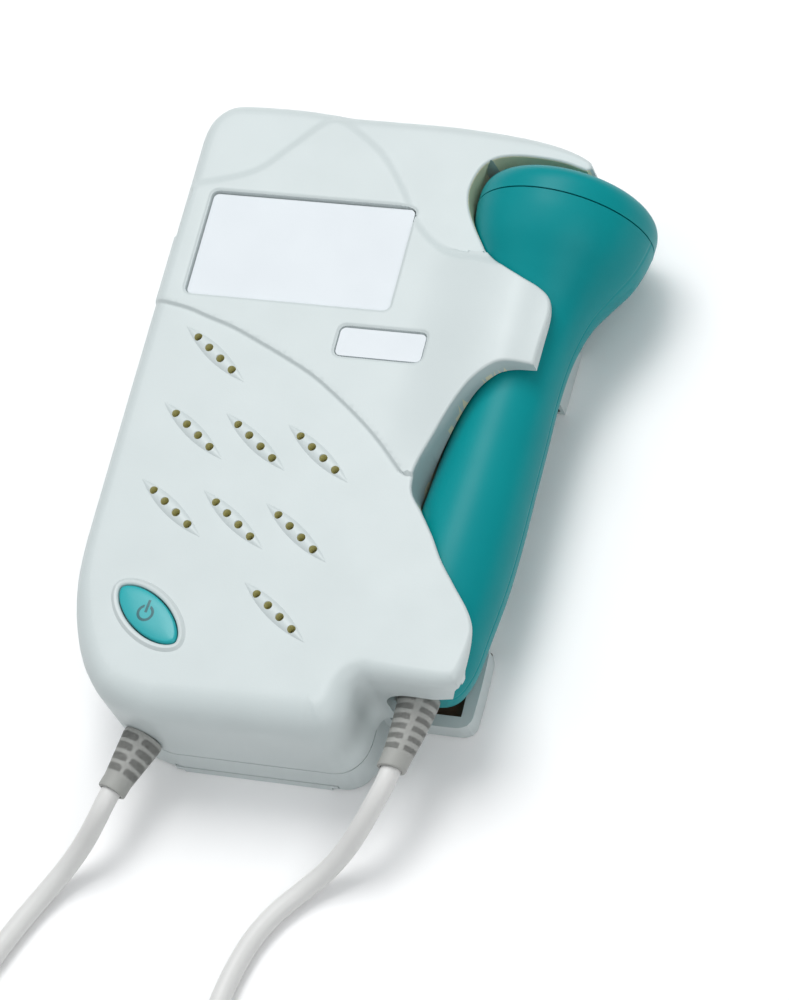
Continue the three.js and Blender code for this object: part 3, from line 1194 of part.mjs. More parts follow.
// A free stretch of cord along its hand-laid route.
function cordRun(route) {
  const curve = new THREE.CatmullRomCurve3(route.map((point) => new THREE.Vector3(...point)));
  return solid(tube(curve, CORD_RADIUS, CORD_SIDES, Math.round(curve.getLength() / CORD_STEP)));
}
addPiece("cord_housing_run", cordRun(HOUSING_ROUTE), "cord", root);
addPiece("cord_probe_run", cordRun(PROBE_ROUTE), "cord", root);

// The band that ties the coil, where the turns of both layers lie square over each other.
const tieRadius = coilOuter - layPitch * (layerLoops - TIED_LOOPS / 2);
function cordTie() {
  const halfWide = ((TIED_LOOPS - 1) / 2) * layPitch + CORD_RADIUS + TIE_CLEARANCE;
  const high = coilLift + layPitch + 2 * CORD_RADIUS + TIE_SLACK;
  const ring = (margin, low, top) => {
    const half = halfWide + margin;
    const corner = CORD_RADIUS / 2 + margin;
    const shape = new THREE.Shape();
    shape.moveTo(corner - half, low).lineTo(half - corner, low);
    shape.absarc(half - corner, low + corner, corner, -Math.PI / 2, 0);
    shape.absarc(half - corner, top - corner, corner, 0, Math.PI / 2);
    shape.absarc(corner - half, top - corner, corner, Math.PI / 2, Math.PI);
    shape.absarc(corner - half, low + corner, corner, Math.PI, 1.5 * Math.PI);
    return shape.getPoints(CORNER_STEPS).slice(0, -1);
  };
  const outer = prism(ring(TIE_THICKNESS, 0, high + TIE_THICKNESS), 0, TIE_WIDTH);
  const inner = prism(ring(0, TIE_THICKNESS, high), -CUT_OVERRUN, TIE_WIDTH + CUT_OVERRUN);
  const [x, y] = COIL_CENTRE;
  const across = new THREE.Matrix4().makeBasis(
    new THREE.Vector3(0, 1, 0), new THREE.Vector3(0, 0, 1), new THREE.Vector3(1, 0, 0),
  ).setPosition(x - TIE_WIDTH / 2, y + tieRadius, 0);
  return moved(cut(outer, inner), across);
}
addPiece("cord_tie", cordTie(), "relief", root);

export default root;
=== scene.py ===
# %% [markdown]
# # A pocket heartbeat monitor with its probe in a side cradle
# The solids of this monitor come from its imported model: they fix every size, every joint and every
# place. This lesson dresses them. Each piece that shows gets a fine surface worked out with numpy,
# or keeps its solid, and every one of them gets a finish made of shader nodes.
# A photographed object is best built in this order: camera first, then the cord, then the main
# forms, then the finishes, because each step is judged through the one before it.

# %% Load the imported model
import json
import math

import bpy
import numpy as np
from mathutils import Matrix, Vector
from mathutils.geometry import delaunay_2d_cdt


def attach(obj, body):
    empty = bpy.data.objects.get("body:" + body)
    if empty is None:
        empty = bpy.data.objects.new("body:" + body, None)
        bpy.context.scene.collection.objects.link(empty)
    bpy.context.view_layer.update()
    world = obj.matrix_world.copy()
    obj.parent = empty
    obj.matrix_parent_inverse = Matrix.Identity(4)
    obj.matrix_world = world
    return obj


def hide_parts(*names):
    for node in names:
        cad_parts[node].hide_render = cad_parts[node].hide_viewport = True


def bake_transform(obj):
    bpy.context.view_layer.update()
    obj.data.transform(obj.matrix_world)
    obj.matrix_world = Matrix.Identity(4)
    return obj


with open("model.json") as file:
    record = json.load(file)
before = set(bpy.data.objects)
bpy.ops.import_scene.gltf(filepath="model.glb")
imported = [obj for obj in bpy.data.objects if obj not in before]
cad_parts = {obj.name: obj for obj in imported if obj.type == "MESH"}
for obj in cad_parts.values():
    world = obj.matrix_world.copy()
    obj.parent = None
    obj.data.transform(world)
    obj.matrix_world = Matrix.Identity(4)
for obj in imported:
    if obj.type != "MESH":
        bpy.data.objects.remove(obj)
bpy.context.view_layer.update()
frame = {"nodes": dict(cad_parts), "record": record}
MM = 0.001

# %% [markdown]
# ## The camera
# The picture was taken from above and from the right of the lower end, with the camera rolled, so
# that the monitor leans in the frame. A camera can be placed by eye, but a fitted one keeps every
# outline in register: its three axes are unit vectors, found once from the outline's corners.
# The columns of the matrix are where the picture's right, its top and the way back point to.

# %% Place the camera
CAMERA_PLACE = np.array([349.44, -389.90, 857.60]) * MM
PICTURE_RIGHT = [0.93306645, 0.23799032, -0.26971763]
PICTURE_UP = [-0.09828564, 0.88998084, 0.44527974]
PICTURE_BACK = [0.34601579, -0.38896622, 0.85380229]

lens = bpy.data.cameras.new("camera")
lens.sensor_width, lens.lens = 36, 181.67
lens.clip_start, lens.clip_end = 0.05, 20
camera = bpy.data.objects.new("camera", lens)
camera_matrix = np.eye(4)
camera_matrix[:3, :3] = np.column_stack([PICTURE_RIGHT, PICTURE_UP, PICTURE_BACK])
camera_matrix[:3, 3] = CAMERA_PLACE
camera.matrix_world = Matrix(camera_matrix.tolist())
bpy.context.scene.collection.objects.link(camera)
bpy.context.scene.camera = camera
bpy.context.scene.view_settings.view_transform = "Standard"
print("camera", round(float(np.linalg.norm(CAMERA_PLACE)), 3), "m from the origin")

# %% [markdown]
# ## Meshes out of arrays
# Nearly every surface here is a grid: rings of points that follow one another, joined by four-sided
# faces. The helper builds the faces with index arithmetic on whole arrays. Each ring wraps round to
# its first point, and the ring at either end is closed by one flat face.

# %% Turn grids of points into meshes
def circle(sides):
    """The cosines and the sines of evenly spaced turns."""
    turn = 2 * math.pi * np.arange(sides) / sides
    return np.cos(turn), np.sin(turn)


def at_height(flat, height):
    """Points of the plan with a height: one for all of them, or one for each."""
    return np.column_stack([flat, np.broadcast_to(height, len(flat))])


def grid_faces(rows, ring):
    """Quads between neighbouring rings: corner i, corner i + 1, and the two above them."""
    column, start = np.arange(ring), ring * np.arange(rows - 1)[:, None]
    here, right = start + column, start + (column + 1) % ring
    return np.stack([here, right, right + ring, here + ring], axis=-1).reshape(-1, 4)


def new_piece(name, points, faces, finish, body, hard_angle=None):
    """A smooth-shaded mesh of these points in metres, which rides on a body."""
    mesh = bpy.data.meshes.new(name)
    mesh.from_pydata(np.asarray(points, float).reshape(-1, 3).tolist(), [], faces)
    mesh.validate()
    mesh.shade_smooth()
    if hard_angle is not None:
        mesh.set_sharp_from_angle(angle=math.radians(hard_angle))
    piece = bpy.data.objects.new(name, mesh)
    bpy.context.scene.collection.objects.link(piece)
    mesh.materials.append(finish)
    if body:
        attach(piece, body)
    return piece


def skin(name, rings, finish, body, hard_angle=None):
    """A surface through rings of points, its two ends closed by flat faces."""
    rings = np.asarray(rings, float)
    count, ring = rings.shape[:2]
    faces = grid_faces(count, ring).tolist()
    faces += [list(range(ring))[::-1], list(range((count - 1) * ring, count * ring))]
    return new_piece(name, rings, faces, finish, body, hard_angle)


print("between 3 rings of 20 points lie", len(grid_faces(3, 20)), "faces")

# %% [markdown]
# ## Finishes as shader nodes
# A moulded plastic is never one flat colour. Its skin carries the tool's fine texture, its gloss
# wanders a little where hands have polished it, and dust and light handling tint it faintly.
# The recipe below gives each finish these three: a fine noise for the texture's relief, a broad
# noise for the gloss, and a second broad noise that mixes two close colours.
# The noises read object coordinates, so they stay on the piece when it moves.

# %% Helpers for shader nodes
def linear(red, green, blue):
    """Screen values of 0 to 255 as the light values that shaders work with."""
    share = np.array([red, green, blue]) / 255
    light = np.where(share > 0.04045, ((share + 0.055) / 1.055) ** 2.4, share / 12.92)
    return (*light.tolist(), 1)


class Finish:
    """A material with one glossy shader, and small helpers that add noises and ramps to it."""

    def __init__(self, name):
        self.material = bpy.data.materials.new(name)
        self.material.use_nodes = True
        self.tree = self.material.node_tree
        self.shader = self.tree.nodes["Principled BSDF"]
        self.place = self.tree.nodes.new("ShaderNodeTexCoord").outputs["Object"]

    def add(self, kind, **links):
        """One node, with its inputs set to numbers or linked to sockets."""
        node = self.tree.nodes.new("ShaderNode" + kind)
        for key, value in links.items():
            self.put(node.inputs[key.replace("_", " ")], value)
        return node

    def put(self, socket, value):
        """A number is typed in, and a socket is linked."""
        if isinstance(value, bpy.types.NodeSocket):
            self.tree.links.new(value, socket)
        else:
            socket.default_value = value

    def noise(self, grain, detail=3, stretch=(1, 1, 1)):
        """A noise whose blots are about grain millimetres across."""
        place = self.add("Mapping", Vector=self.place, Scale=stretch).outputs["Vector"]
        node = self.add("TexNoise", Scale=1 / (grain * MM), Detail=detail, Vector=place)
        return node.outputs["Fac"]

    def between(self, factor, low, high, start=0.3, end=0.7):
        """The factor's range from start to end, by default its middle, spread over low to high."""
        return self.add("MapRange", Value=factor, From_Min=start, From_Max=end,
                        To_Min=low, To_Max=high).outputs["Result"]

    def maths(self, operation, first, second=0.0):
        """One calculation with two numbers or sockets."""
        node = self.add("Math")
        node.operation = operation
        self.put(node.inputs[0], first)
        self.put(node.inputs[1], second)
        return node.outputs["Value"]

    def mix(self, factor, first, second):
        """Two colours, mixed by a factor."""
        node = self.add("Mix")
        node.data_type = "RGBA"
        for key, value in (("Factor", factor), ("A", first), ("B", second)):
            self.put(node.inputs[key], value)
        return node.outputs["Result"]

    def blots(self, grain, detail, first, second):
        """Two close screen colours in broad blots."""
        factor = self.between(self.noise(grain, detail), 0, 1)
        return self.mix(factor, linear(*first), linear(*second))

    def relief(self, height, depth, strength):
        """A bump of that depth in millimetres."""
        node = self.add("Bump", Height=height, Strength=strength, Distance=depth * MM)
        return node.outputs["Normal"]

    def done(self, colour, roughness, normal, **constants):
        """The material, once the shader's inputs are set."""
        constants |= {"Base_Color": colour, "Roughness": roughness, "Normal": normal}
        for key, value in constants.items():
            self.put(self.shader.inputs[key.replace("_", " ")], value)
        print("finish:", self.material.name)
        return self.material


# %% Finishes of the outer plastics
def moulded(name, colour, tint, rough, texture=0.35, depth=0.02, **constants):
    """Plastic with the tool's texture, gloss that wanders by a tenth, and a faint tint."""
    made = Finish(name)
    gloss = made.between(made.noise(9, 5), rough * 0.95, rough * 1.05)
    fine = made.relief(made.noise(texture, 2), depth, 0.5)
    return made.done(made.blots(18, 4, colour, tint), gloss, fine, **constants)


white_shell = moulded("white_shell", (200, 209, 209), (197, 206, 206), 0.42)
teal_shell = moulded("teal_shell", (0, 139, 143), (0, 135, 140), 0.4, Specular_IOR_Level=0.16)
teal_button = moulded("teal_button", (38, 172, 178), (34, 164, 170), 0.3)
grey_sleeve = moulded("grey_sleeve", (164, 165, 161), (156, 157, 153), 0.55, depth=0.03)
cord_jacket = moulded("cord_jacket", (222, 222, 220), (216, 216, 214), 0.4, texture=0.6)
black_part = moulded("black_part", (38, 38, 39), (30, 30, 30), 0.5)

# %% [markdown]
# ## The cord
# One soft lead joins the monitor to its probe. It leaves the housing's lower left corner, lies on
# the table, is wound up in a neat tied coil, and comes back to the probe's end.
# A curve object with a round bevel would do, but a tube of rings is a better lesson: every ring is
# the same circle, set square to the way that the cord runs there. The route's points are few, so a
# smooth curve is drawn through them before the rings are set.

# %% The cord's route
HOUSING_ROUTE = np.array([
    [-34.34, -71.41, 12], [-34.86, -73.13, 12], [-35.6, -75.5, 11.7], [-37, -78.6, 10.2],
    [-39.8, -82.6, 6.9], [-43.4, -87.2, 3.9], [-47, -92.5, 2.4], [-50.5, -99, 2.1],
    [-54, -107, 2.1], [-57.5, -116, 2.1], [-61, -126, 2.15], [-63.8, -136, 2.35],
    [-65.1, -144, 2.7], [-65.31, -149.7, 2.9],
]) * MM
PROBE_ROUTE = np.array([
    [21.9, -60.8, 15.14], [21.43, -62.95, 15.03], [20.85, -65.5, 14.75], [19.3, -69, 13.4],
    [16.9, -72.9, 10.7], [13.6, -76.7, 7.1], [9.6, -80.5, 4], [5.2, -84.6, 2.4], [0.8, -89.8, 2.05],
    [-2.6, -96.5, 2.05], [-4.8, -105, 2.1], [-6, -115, 2.3], [-6.6, -125, 3.2],
    [-6.69, -135, 5.2], [-6.69, -143, 6.9], [-6.69, -149.7, 7.4],
]) * MM
CORD_RADIUS = 2 * MM
COIL_CENTRE = np.array([-36, -154]) * MM
COIL_LOOPS, COIL_MEAN, COIL_PITCH, COIL_LOW = 6.5, 22 * MM, 4.5 * MM, 2.9 * MM
ROUTE_STEP, LOOP_STEPS, TUBE_SIDES = 1.5 * MM, 72, 20
print("route: points by hand", len(HOUSING_ROUTE) + len(PROBE_ROUTE), "and", COIL_LOOPS, "loops")


# %% Draw the route smoothly
def lengths_along(path):
    """How far each point of a path lies from its start."""
    return np.concatenate([[0], np.cumsum(np.linalg.norm(np.diff(path, axis=0), axis=1))])


def smooth_through(points, step):
    """A curve through every point: between two, a cubic whose slopes are half the way between
    the points on either side. It is sampled evenly at that step."""
    padded = np.vstack([2 * points[0] - points[1], points, 2 * points[-1] - points[-2]])
    a, b, c, d = (padded[i: i + len(points) - 1, None] for i in range(4))
    t = np.linspace(0, 1, 24, endpoint=False)[None, :, None]
    curve = b + 0.5 * t * (c - a + t * (2 * a - 5 * b + 4 * c - d + t * (3 * (b - c) + d - a)))
    curve = np.vstack([curve.reshape(-1, 3), points[-1:]])
    along = lengths_along(curve)
    even = np.linspace(0, along[-1], max(2, int(along[-1] / step) + 1))
    return np.column_stack([np.interp(even, along, curve[:, k]) for k in range(3)])


def coil_points(loops):
    """A spiral in and out again: the radius falls by one pitch a loop to the middle of the way and
    grows again, and the height climbs one pitch, eased, in the half turn where it reverses."""
    half = COIL_LOOPS / 2
    radius = COIL_MEAN + COIL_PITCH * (np.abs(loops - half) - half / 2)
    climb = np.clip(2 * (loops - half) + 0.5, 0, 1)
    height = COIL_LOW + COIL_PITCH * climb * climb * (3 - 2 * climb)
    turn = math.pi + 2 * math.pi * loops
    return np.column_stack([
        COIL_CENTRE[0] + radius * np.cos(turn), COIL_CENTRE[1] + radius * np.sin(turn), height,
    ])


coil = coil_points(np.linspace(0, COIL_LOOPS, int(COIL_LOOPS * LOOP_STEPS) + 1))
cord_path = np.vstack([
    smooth_through(HOUSING_ROUTE, ROUTE_STEP), coil, smooth_through(PROBE_ROUTE[::-1], ROUTE_STEP)])

# %% The cord's tube
def unit(rows):
    """Each row scaled to a length of one."""
    return rows / np.linalg.norm(rows, axis=1, keepdims=True)


def tube_rings(path, radius, sides):
    """Circles square to the path: one spoke is level, across the way on, and the other is square
    to both, so the tube never twists on a level run."""
    way = unit(np.gradient(path, axis=0))
    level = unit(np.cross(way, [0, 0, 1]))
    over = np.cross(level, way)
    cosines, sines = (part[:, None] for part in circle(sides))
    return path[:, None] + radius * (level[:, None] * cosines + over[:, None] * sines)


cord = skin("cord", tube_rings(cord_path, CORD_RADIUS, TUBE_SIDES), cord_jacket, None)
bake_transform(cord)
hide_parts("cord_housing_run", "cord_coil", "cord_probe_run")
print("cord's tube:", len(cord.data.polygons), "faces")

# %% [markdown]
# ## Floor and light
# The picture shows a white table under a broad soft light from the upper left, which leaves only a
# close grey shadow below and to the right. A small lamp would draw hard edges, and an even sky none
# at all. One large square lamp high up gives the shadow, three weaker ones lift the top end and the
# two sides, and a sky that darkens towards the horizon keeps the walls greyer than the panel.

# %% Lay the floor
pale_floor = Finish("pale_floor")
pale_floor.put(pale_floor.shader.inputs["Base Color"], linear(254, 254, 254))
pale_floor.put(pale_floor.shader.inputs["Roughness"], 0.95)
FLOOR_HALF, FLOOR_TOP = 3.0, -0.05 * MM
corners = [(x * FLOOR_HALF, y * FLOOR_HALF, FLOOR_TOP)
           for x, y in ((-1, -1), (1, -1), (1, 1), (-1, 1))]
floor = new_piece("floor", corners, [(0, 1, 2, 3)], pale_floor.material, None)
print("floor:", 2 * FLOOR_HALF, "m wide")


# %% Hang the lamps
def lamp(name, place, size, power):
    """A square soft lamp that looks at the monitor's middle."""
    light = bpy.data.lights.new(name, "AREA")
    light.size, light.energy = size, power
    held = bpy.data.objects.new(name, light)
    held.location = place
    held.rotation_mode = "QUATERNION"
    held.rotation_quaternion = (-Vector(place)).to_track_quat("-Z", "Y")
    bpy.context.scene.collection.objects.link(held)
    print(name, "of", power, "W,", round(math.dist(place, (0, 0, 0)), 2), "m away")


def sky_of(zenith, horizon):
    """A sky whose strength grows from the horizon to the zenith, with the direction's height."""
    world = bpy.data.worlds.new("sky")
    world.use_nodes = True
    nodes, links = world.node_tree.nodes, world.node_tree.links
    way = nodes.new("ShaderNodeTexCoord")
    parts = nodes.new("ShaderNodeSeparateXYZ")
    strength = nodes.new("ShaderNodeMapRange")
    strength.inputs["To Min"].default_value, strength.inputs["To Max"].default_value = horizon, zenith
    links.new(way.outputs["Generated"], parts.inputs["Vector"])
    links.new(parts.outputs["Z"], strength.inputs["Value"])
    links.new(strength.outputs["Result"], nodes["Background"].inputs["Strength"])
    nodes["Background"].inputs["Color"].default_value = (0.95, 0.975, 1, 1)
    return world


lamp("key_lamp", (-0.18, 0.46, 1.1), 0.6, 7.2)
lamp("top_lamp", (0.06, 0.85, 0.95), 0.4, 1.4)
lamp("right_fill", (0.6, -0.5, 0.8), 0.7, 2.3)
lamp("left_fill", (-0.8, -0.1, 0.9), 0.8, 1.1)
bpy.context.scene.world = sky_of(zenith=0.64, horizon=0.14)

# %% [markdown]
# ## The probe
# The probe is a turned shape: a wide head with a cap over its crystals, a slim waist, and a handle
# that tapers to the cord. On a lathe it would be one profile swept round an axis, and so it is
# here: a curve is drawn smoothly through the profile's points, and each of its points makes a ring.
# The two moulded halves meet level with the axis in a fine line, which the rings dip into.

# %% The probe's own axes
HOUSING_WIDTH, HOUSING_LENGTH = 84, 135
PLAN_SIZE = np.array([HOUSING_WIDTH, HOUSING_LENGTH])
WORK_SHIFT = np.array([48.126, 62.330, 0])
PROBE_RING = np.array([0.9286 * HOUSING_WIDTH, 0.8652 * HOUSING_LENGTH, 18.6])
PROBE_LEAN, PROBE_RISE = 0.06, 0.03
probe_along = np.array([PROBE_LEAN, 1, PROBE_RISE])
probe_along /= np.linalg.norm(probe_along)
probe_across = np.array([1, -PROBE_LEAN, 0])
probe_across /= np.linalg.norm(probe_across)
probe_up = np.cross(probe_across, probe_along)
probe_axes = np.stack([probe_across, probe_along, probe_up])
probe_origin = (PROBE_RING - WORK_SHIFT) * MM


def from_probe(across, along, up):
    """Distances along the probe's three axes, in millimetres, as points of the model in metres."""
    sizes = np.stack(np.broadcast_arrays(across, along, up), axis=-1) * MM
    return probe_origin + sizes @ probe_axes


# %% Handle and cap
PROBE_LENGTH, HEAD_RADIUS, CAP_DEPTH, CAP_GAP = 101.2, 18.2, 7.8, 0.15
GROOVE_DEPTH, GROOVE_WIDTH = 0.12, 0.16
PROFILE_SHARES = np.array([
    [0, 0.3], [0.01, 0.4], [0.032, 0.472], [0.075, 0.53], [0.142, 0.552], [0.241, 0.582],
    [0.34, 0.577], [0.438, 0.552], [0.538, 0.527], [0.636, 0.5], [0.716, 0.505], [0.775, 0.547],
    [0.825, 0.621], [0.874, 0.753], [0.923, 0.896], [0.964, 0.967], [1, 1],
])
CAP_SHARES = np.array([[0, 1], [0.36, 0.995], [0.62, 0.95], [0.81, 0.84], [0.93, 0.63], [1, 0.0]])


def smooth_profile(shares, count):
    """Points of a smooth curve through a profile's rows, evenly spaced along it."""
    flat = np.column_stack([shares, np.zeros(len(shares))])
    line = smooth_through(flat, 1e-3)
    pick = np.linspace(0, len(line) - 1, count).astype(int)
    return line[pick, 0], line[pick, 1]


def turned_rings(along, radius, sides, groove=0.0):
    """Rings round the probe's axis. A fine groove runs lengthwise where the halves meet: the radius
    falls by its depth times a narrow bell over the angle from the parting plane."""
    cosines, sines = circle(sides)
    bell = np.exp(-((sines * radius[:, None]) / GROOVE_WIDTH) ** 2)
    reach = radius[:, None] - groove * bell
    return from_probe(reach * cosines, along[:, None], reach * sines)


handle_along, handle_share = smooth_profile(PROFILE_SHARES, 150)
handle = skin(
    "probe_handle",
    turned_rings((handle_along - 1) * PROBE_LENGTH - CAP_GAP, handle_share * HEAD_RADIUS, 256,
                 GROOVE_DEPTH)[:, ::-1],
    teal_shell, "probe", 40)
cap_along, cap_share = smooth_profile(CAP_SHARES, 40)
cap_share = np.clip(cap_share, 0.01, None)
cap = skin(
    "probe_cap",
    turned_rings(CAP_GAP + cap_along * (CAP_DEPTH - CAP_GAP), cap_share * HEAD_RADIUS, 128)[:, ::-1],
    teal_shell, "probe", 40)
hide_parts("probe_front_half", "probe_rear_half")
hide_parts("probe_face_cap")
print("probe: handle", len(handle.data.polygons), "faces, cap", len(cap.data.polygons))

# %% [markdown]
# ## The housing's outlines
# Both shells are drawn from the same few curves, seen from above. Each curve is a short row of
# points, given as shares of the housing's width and length, so that the whole housing scales.
# A draughtsman would lay a flexible ruler through such points. The cubic below does the same, and
# where the outline turns sharply it leaves the corner crisp.

# %% Points of the outlines
PANEL_HEIGHT, RAISED_STEP, EDGE_RADIUS = 28.6, 0.7, 3
SHELL_WALL, JOINT_HEIGHT, SEAT_GAP = 1.8, 8.6, 0.3
OUTLINE_STEP = 0.7
CHIN = [
    [0.2929, 0.0022, 2.2], [0.6429, 0.0022, 2.4], [0.6774, 0.003, 2.4],
    [0.7095, 0.0126, 2.2], [0.7321, 0.0319, 2], [0.7405, 0.056, 1.8],
]
CHIN_CORNER = [[0.7411, 0.0741, 1.7], [0.7476, 0.0889, 1.5], [0.7619, 0.0969, 1.3]]
CHEEK = [
    [0.7857, 0.0985, 1.1], [0.8452, 0.0985, 1], [0.9583, 0.0985, 0.95], [0.9869, 0.1052, 0.85],
    [0.9964, 0.123, 0.65], [0.9964, 0.18, 0.25], [0.9774, 0.2096], [0.9238, 0.2519],
    [0.8798, 0.2867], [0.8429, 0.3237], [0.8036, 0.3578], [0.769, 0.3867],
]
CLAW_LOWER = [
    [0.7619, 0.4104], [0.7679, 0.4356], [0.7869, 0.4696], [0.806, 0.5037],
    [0.8262, 0.537], [0.8536, 0.568], [0.8964, 0.593],
]
CLAW_TIP = [
    [0.9333, 0.6006], [0.9845, 0.6023], [0.987, 0.6444], [0.9905, 0.6881],
    [0.981, 0.7104], [0.956, 0.7237],
]
CLAW_UPPER = [[0.9071, 0.7363], [0.85, 0.7548], [0.8036, 0.7763]]
BAY = [
    [0.7714, 0.8015], [0.7417, 0.8296], [0.7214, 0.8556], [0.7131, 0.8837],
    [0.7238, 0.9133], [0.7405, 0.9289], [0.7702, 0.9393], [0.8286, 0.9437],
    [0.919, 0.9393], [0.9881, 0.9274],
]
RIM = [
    [0.9988, 0.9333], [0.9905, 0.9437, 0.3], [0.9464, 0.9585, 0.45], [0.8821, 0.9719, 0.7],
    [0.7881, 0.9837, 1],
]
TOP_LEFT = [
    [0.681, 0.9896, 1], [0.6071, 0.9919, 1], [0.4762, 0.9926, 1], [0.369, 0.9933, 1],
    [0.3214, 0.9963, 1], [0.2321, 1, 1], [0.0857, 1, 1.1], [0.0524, 0.9948, 1.1],
    [0.0274, 0.983, 1.1], [0.0095, 0.9659, 1.1], [0.0012, 0.9422, 1.1], [0, 0.9037, 1.1],
    [0, 0.2652, 1.1], [0.0048, 0.2044, 1.2], [0.0179, 0.1585, 1.4],
    [0.0393, 0.1178, 1.5], [0.0655, 0.0822, 1.6], [0.1, 0.0511, 1.6], [0.1476, 0.0241, 1.8],
    [0.2595, 0.003, 2.1],
]
TRAY = [
    [0.7405, 0.1007], [0.7548, 0.1044], [0.9167, 0.1044], [0.9381, 0.1096],
    [0.9476, 0.1215], [0.9476, 0.2207], [0.9393, 0.2356], [0.9226, 0.24],
    [0.9226, 0.631], [0.964, 0.631], [0.968, 0.7315], [0.9393, 0.74], [0.8571, 0.7422],
    [0.7976, 0.763], [0.7571, 0.8037], [0.7262, 0.8385], [0.7119, 0.8667],
    [0.7071, 0.8926], [0.7167, 0.9178], [0.7405, 0.9363], [0.7738, 0.9452],
    [0.8286, 0.9481], [0.919, 0.943], [0.9714, 0.9333],
]
BODY_SIDE = [[0.7405, 0.7259], [0.7167, 0.7704], [0.6976, 0.8296], [0.6952, 0.9185], [0.7024, 0.9815]]
ARC = [
    [-0.03, 0.655], [0, 0.6519], [0.0952, 0.6422], [0.1524, 0.6311], [0.225, 0.617],
    [0.3, 0.597], [0.3738, 0.5763], [0.45, 0.5526], [0.5274, 0.5207],
    [0.6071, 0.4837], [0.6631, 0.4533], [0.7202, 0.4178], [0.7619, 0.39], [0.79, 0.37],
]
BELL = [
    [0.84, 0.765], [0.7917, 0.7725], [0.7083, 0.7807], [0.625, 0.8185], [0.5643, 0.8741],
    [0.4905, 0.9304], [0.4286, 0.96], [0.375, 0.98], [0.3381, 0.988], [0.3012, 0.979],
    [0.2321, 0.9333], [0.1607, 0.8896], [0.0226, 0.86], [-0.03, 0.85],
]
print("points of the cheek, the bay and the tray:", len(CHEEK), len(BAY), len(TRAY))


# %% Draw the outlines
def plan(*tables):
    """Rows of shares as millimetres: across, along, and the radius of the front edge there."""
    rows = [(*row, 0.2)[:3] for table in tables for row in table]
    return np.array(rows) * [*PLAN_SIZE, EDGE_RADIUS]


def smooth_outline(points, corner=40, closed=True):
    """A curve through the points, sampled at about the outline's step. Each stretch is a cubic,
    whose end slopes run from the point before to the point after. A point that turns by more than
    the corner angle keeps its two sides' own slopes."""
    ahead = np.roll(points, -1, axis=0) - points
    if not closed:
        ahead[-1] = ahead[-2]
    size = np.linalg.norm(ahead[:, :2], axis=1, keepdims=True)
    leaving = ahead / size
    arriving = np.roll(leaving, 1, axis=0)
    if not closed:
        arriving[0] = leaving[0]
    crisp = (arriving[:, :2] * leaving[:, :2]).sum(axis=1) < math.cos(math.radians(corner))
    middle = leaving * size + arriving * np.roll(size, 1, axis=0)
    middle /= np.linalg.norm(middle[:, :2], axis=1, keepdims=True)
    out = np.where(crisp[:, None], leaving, middle)
    into = np.roll(np.where(crisp[:, None], arriving, middle), -1, axis=0)
    stretches = len(points) if closed else len(points) - 1
    counts = np.maximum(1, np.round(size[:stretches, 0] / OUTLINE_STEP)).astype(int)
    pick = np.repeat(np.arange(stretches), counts)
    start = np.cumsum(counts) - counts
    t = ((np.arange(counts.sum()) - start[pick]) / counts[pick])[:, None]
    after = np.roll(points, -1, axis=0)
    curve = (
        (2 * t**3 - 3 * t**2 + 1) * points[pick] + (t**3 - 2 * t**2 + t) * size[pick] * out[pick]
        + (3 * t**2 - 2 * t**3) * after[pick] + (t**3 - t**2) * size[pick] * into[pick]
    )
    curve[:, 2] = (points[pick] * (1 - t) + after[pick] * t)[:, 2]
    return curve if closed else np.vstack([curve, points[-1:]])


def moved_in(outline, amount):
    """The outline's points moved inward, square to it, each by its own amount. At a corner the
    step grows by one over the cosine of half the turn."""
    before, after = np.roll(outline, 1, axis=0), np.roll(outline, -1, axis=0)
    arriving = unit(outline[:, :2] - before[:, :2])
    leaving = unit(after[:, :2] - outline[:, :2])
    along = unit(arriving + leaving)
    reach = amount / np.maximum((along * leaving).sum(axis=1), 0.7)
    return outline[:, :2] + np.column_stack([-along[:, 1], along[:, 0]]) * np.reshape(reach, (-1, 1))


front_outline = smooth_outline(
    plan(CHIN, CHIN_CORNER, CHEEK, CLAW_LOWER, CLAW_TIP, CLAW_UPPER, BAY, RIM, TOP_LEFT))
rear_outline = smooth_outline(plan(CHIN, TRAY, RIM, TOP_LEFT))
body_inside = smooth_outline(plan(CHIN, BODY_SIDE, TOP_LEFT))
print("outlines:", len(front_outline), len(rear_outline), len(body_inside), "points")

# %% [markdown]
# ## The front panel as a height over the plan
# The moulded front is one skin of gentle shapes: rounded edges, a raised field between an arc and a
# bell-shaped crease, the claw that swells over the probe's neck, eight small ridges with holes, and
# two sunk fields. Modelling them one by one would leave seams. A height that is worked out for
# every point of the plan has none, because the shapes are simply added and subtracted.
# Most of the shapes depend on how far a point lies from a curve, so that distance comes first.

# %% Distances in the plan
def distance_to(points, line, closed=True):
    """Distance from each point to a line of straight stretches, and the line's third value at the
    nearest place. The foot on each stretch is the dot product with it, held between its ends."""
    start, end = (line, np.roll(line, -1, axis=0)) if closed else (line[:-1], line[1:])
    side = (end - start)[:, :2]
    near, value = [], []
    for part in np.array_split(points, max(1, len(points) // 1500)):
        off = part[:, None] - start[None, :, :2]
        t = np.clip((off * side).sum(axis=2) / (side**2).sum(axis=1), 0, 1)
        far = np.linalg.norm(off - t[..., None] * side, axis=2)
        best = far.argmin(axis=1)
        row = np.arange(len(part))
        near.append(far[row, best])
        value.append(start[best, 2] + t[row, best] * (end - start)[best, 2])
    return np.concatenate(near), np.concatenate(value)


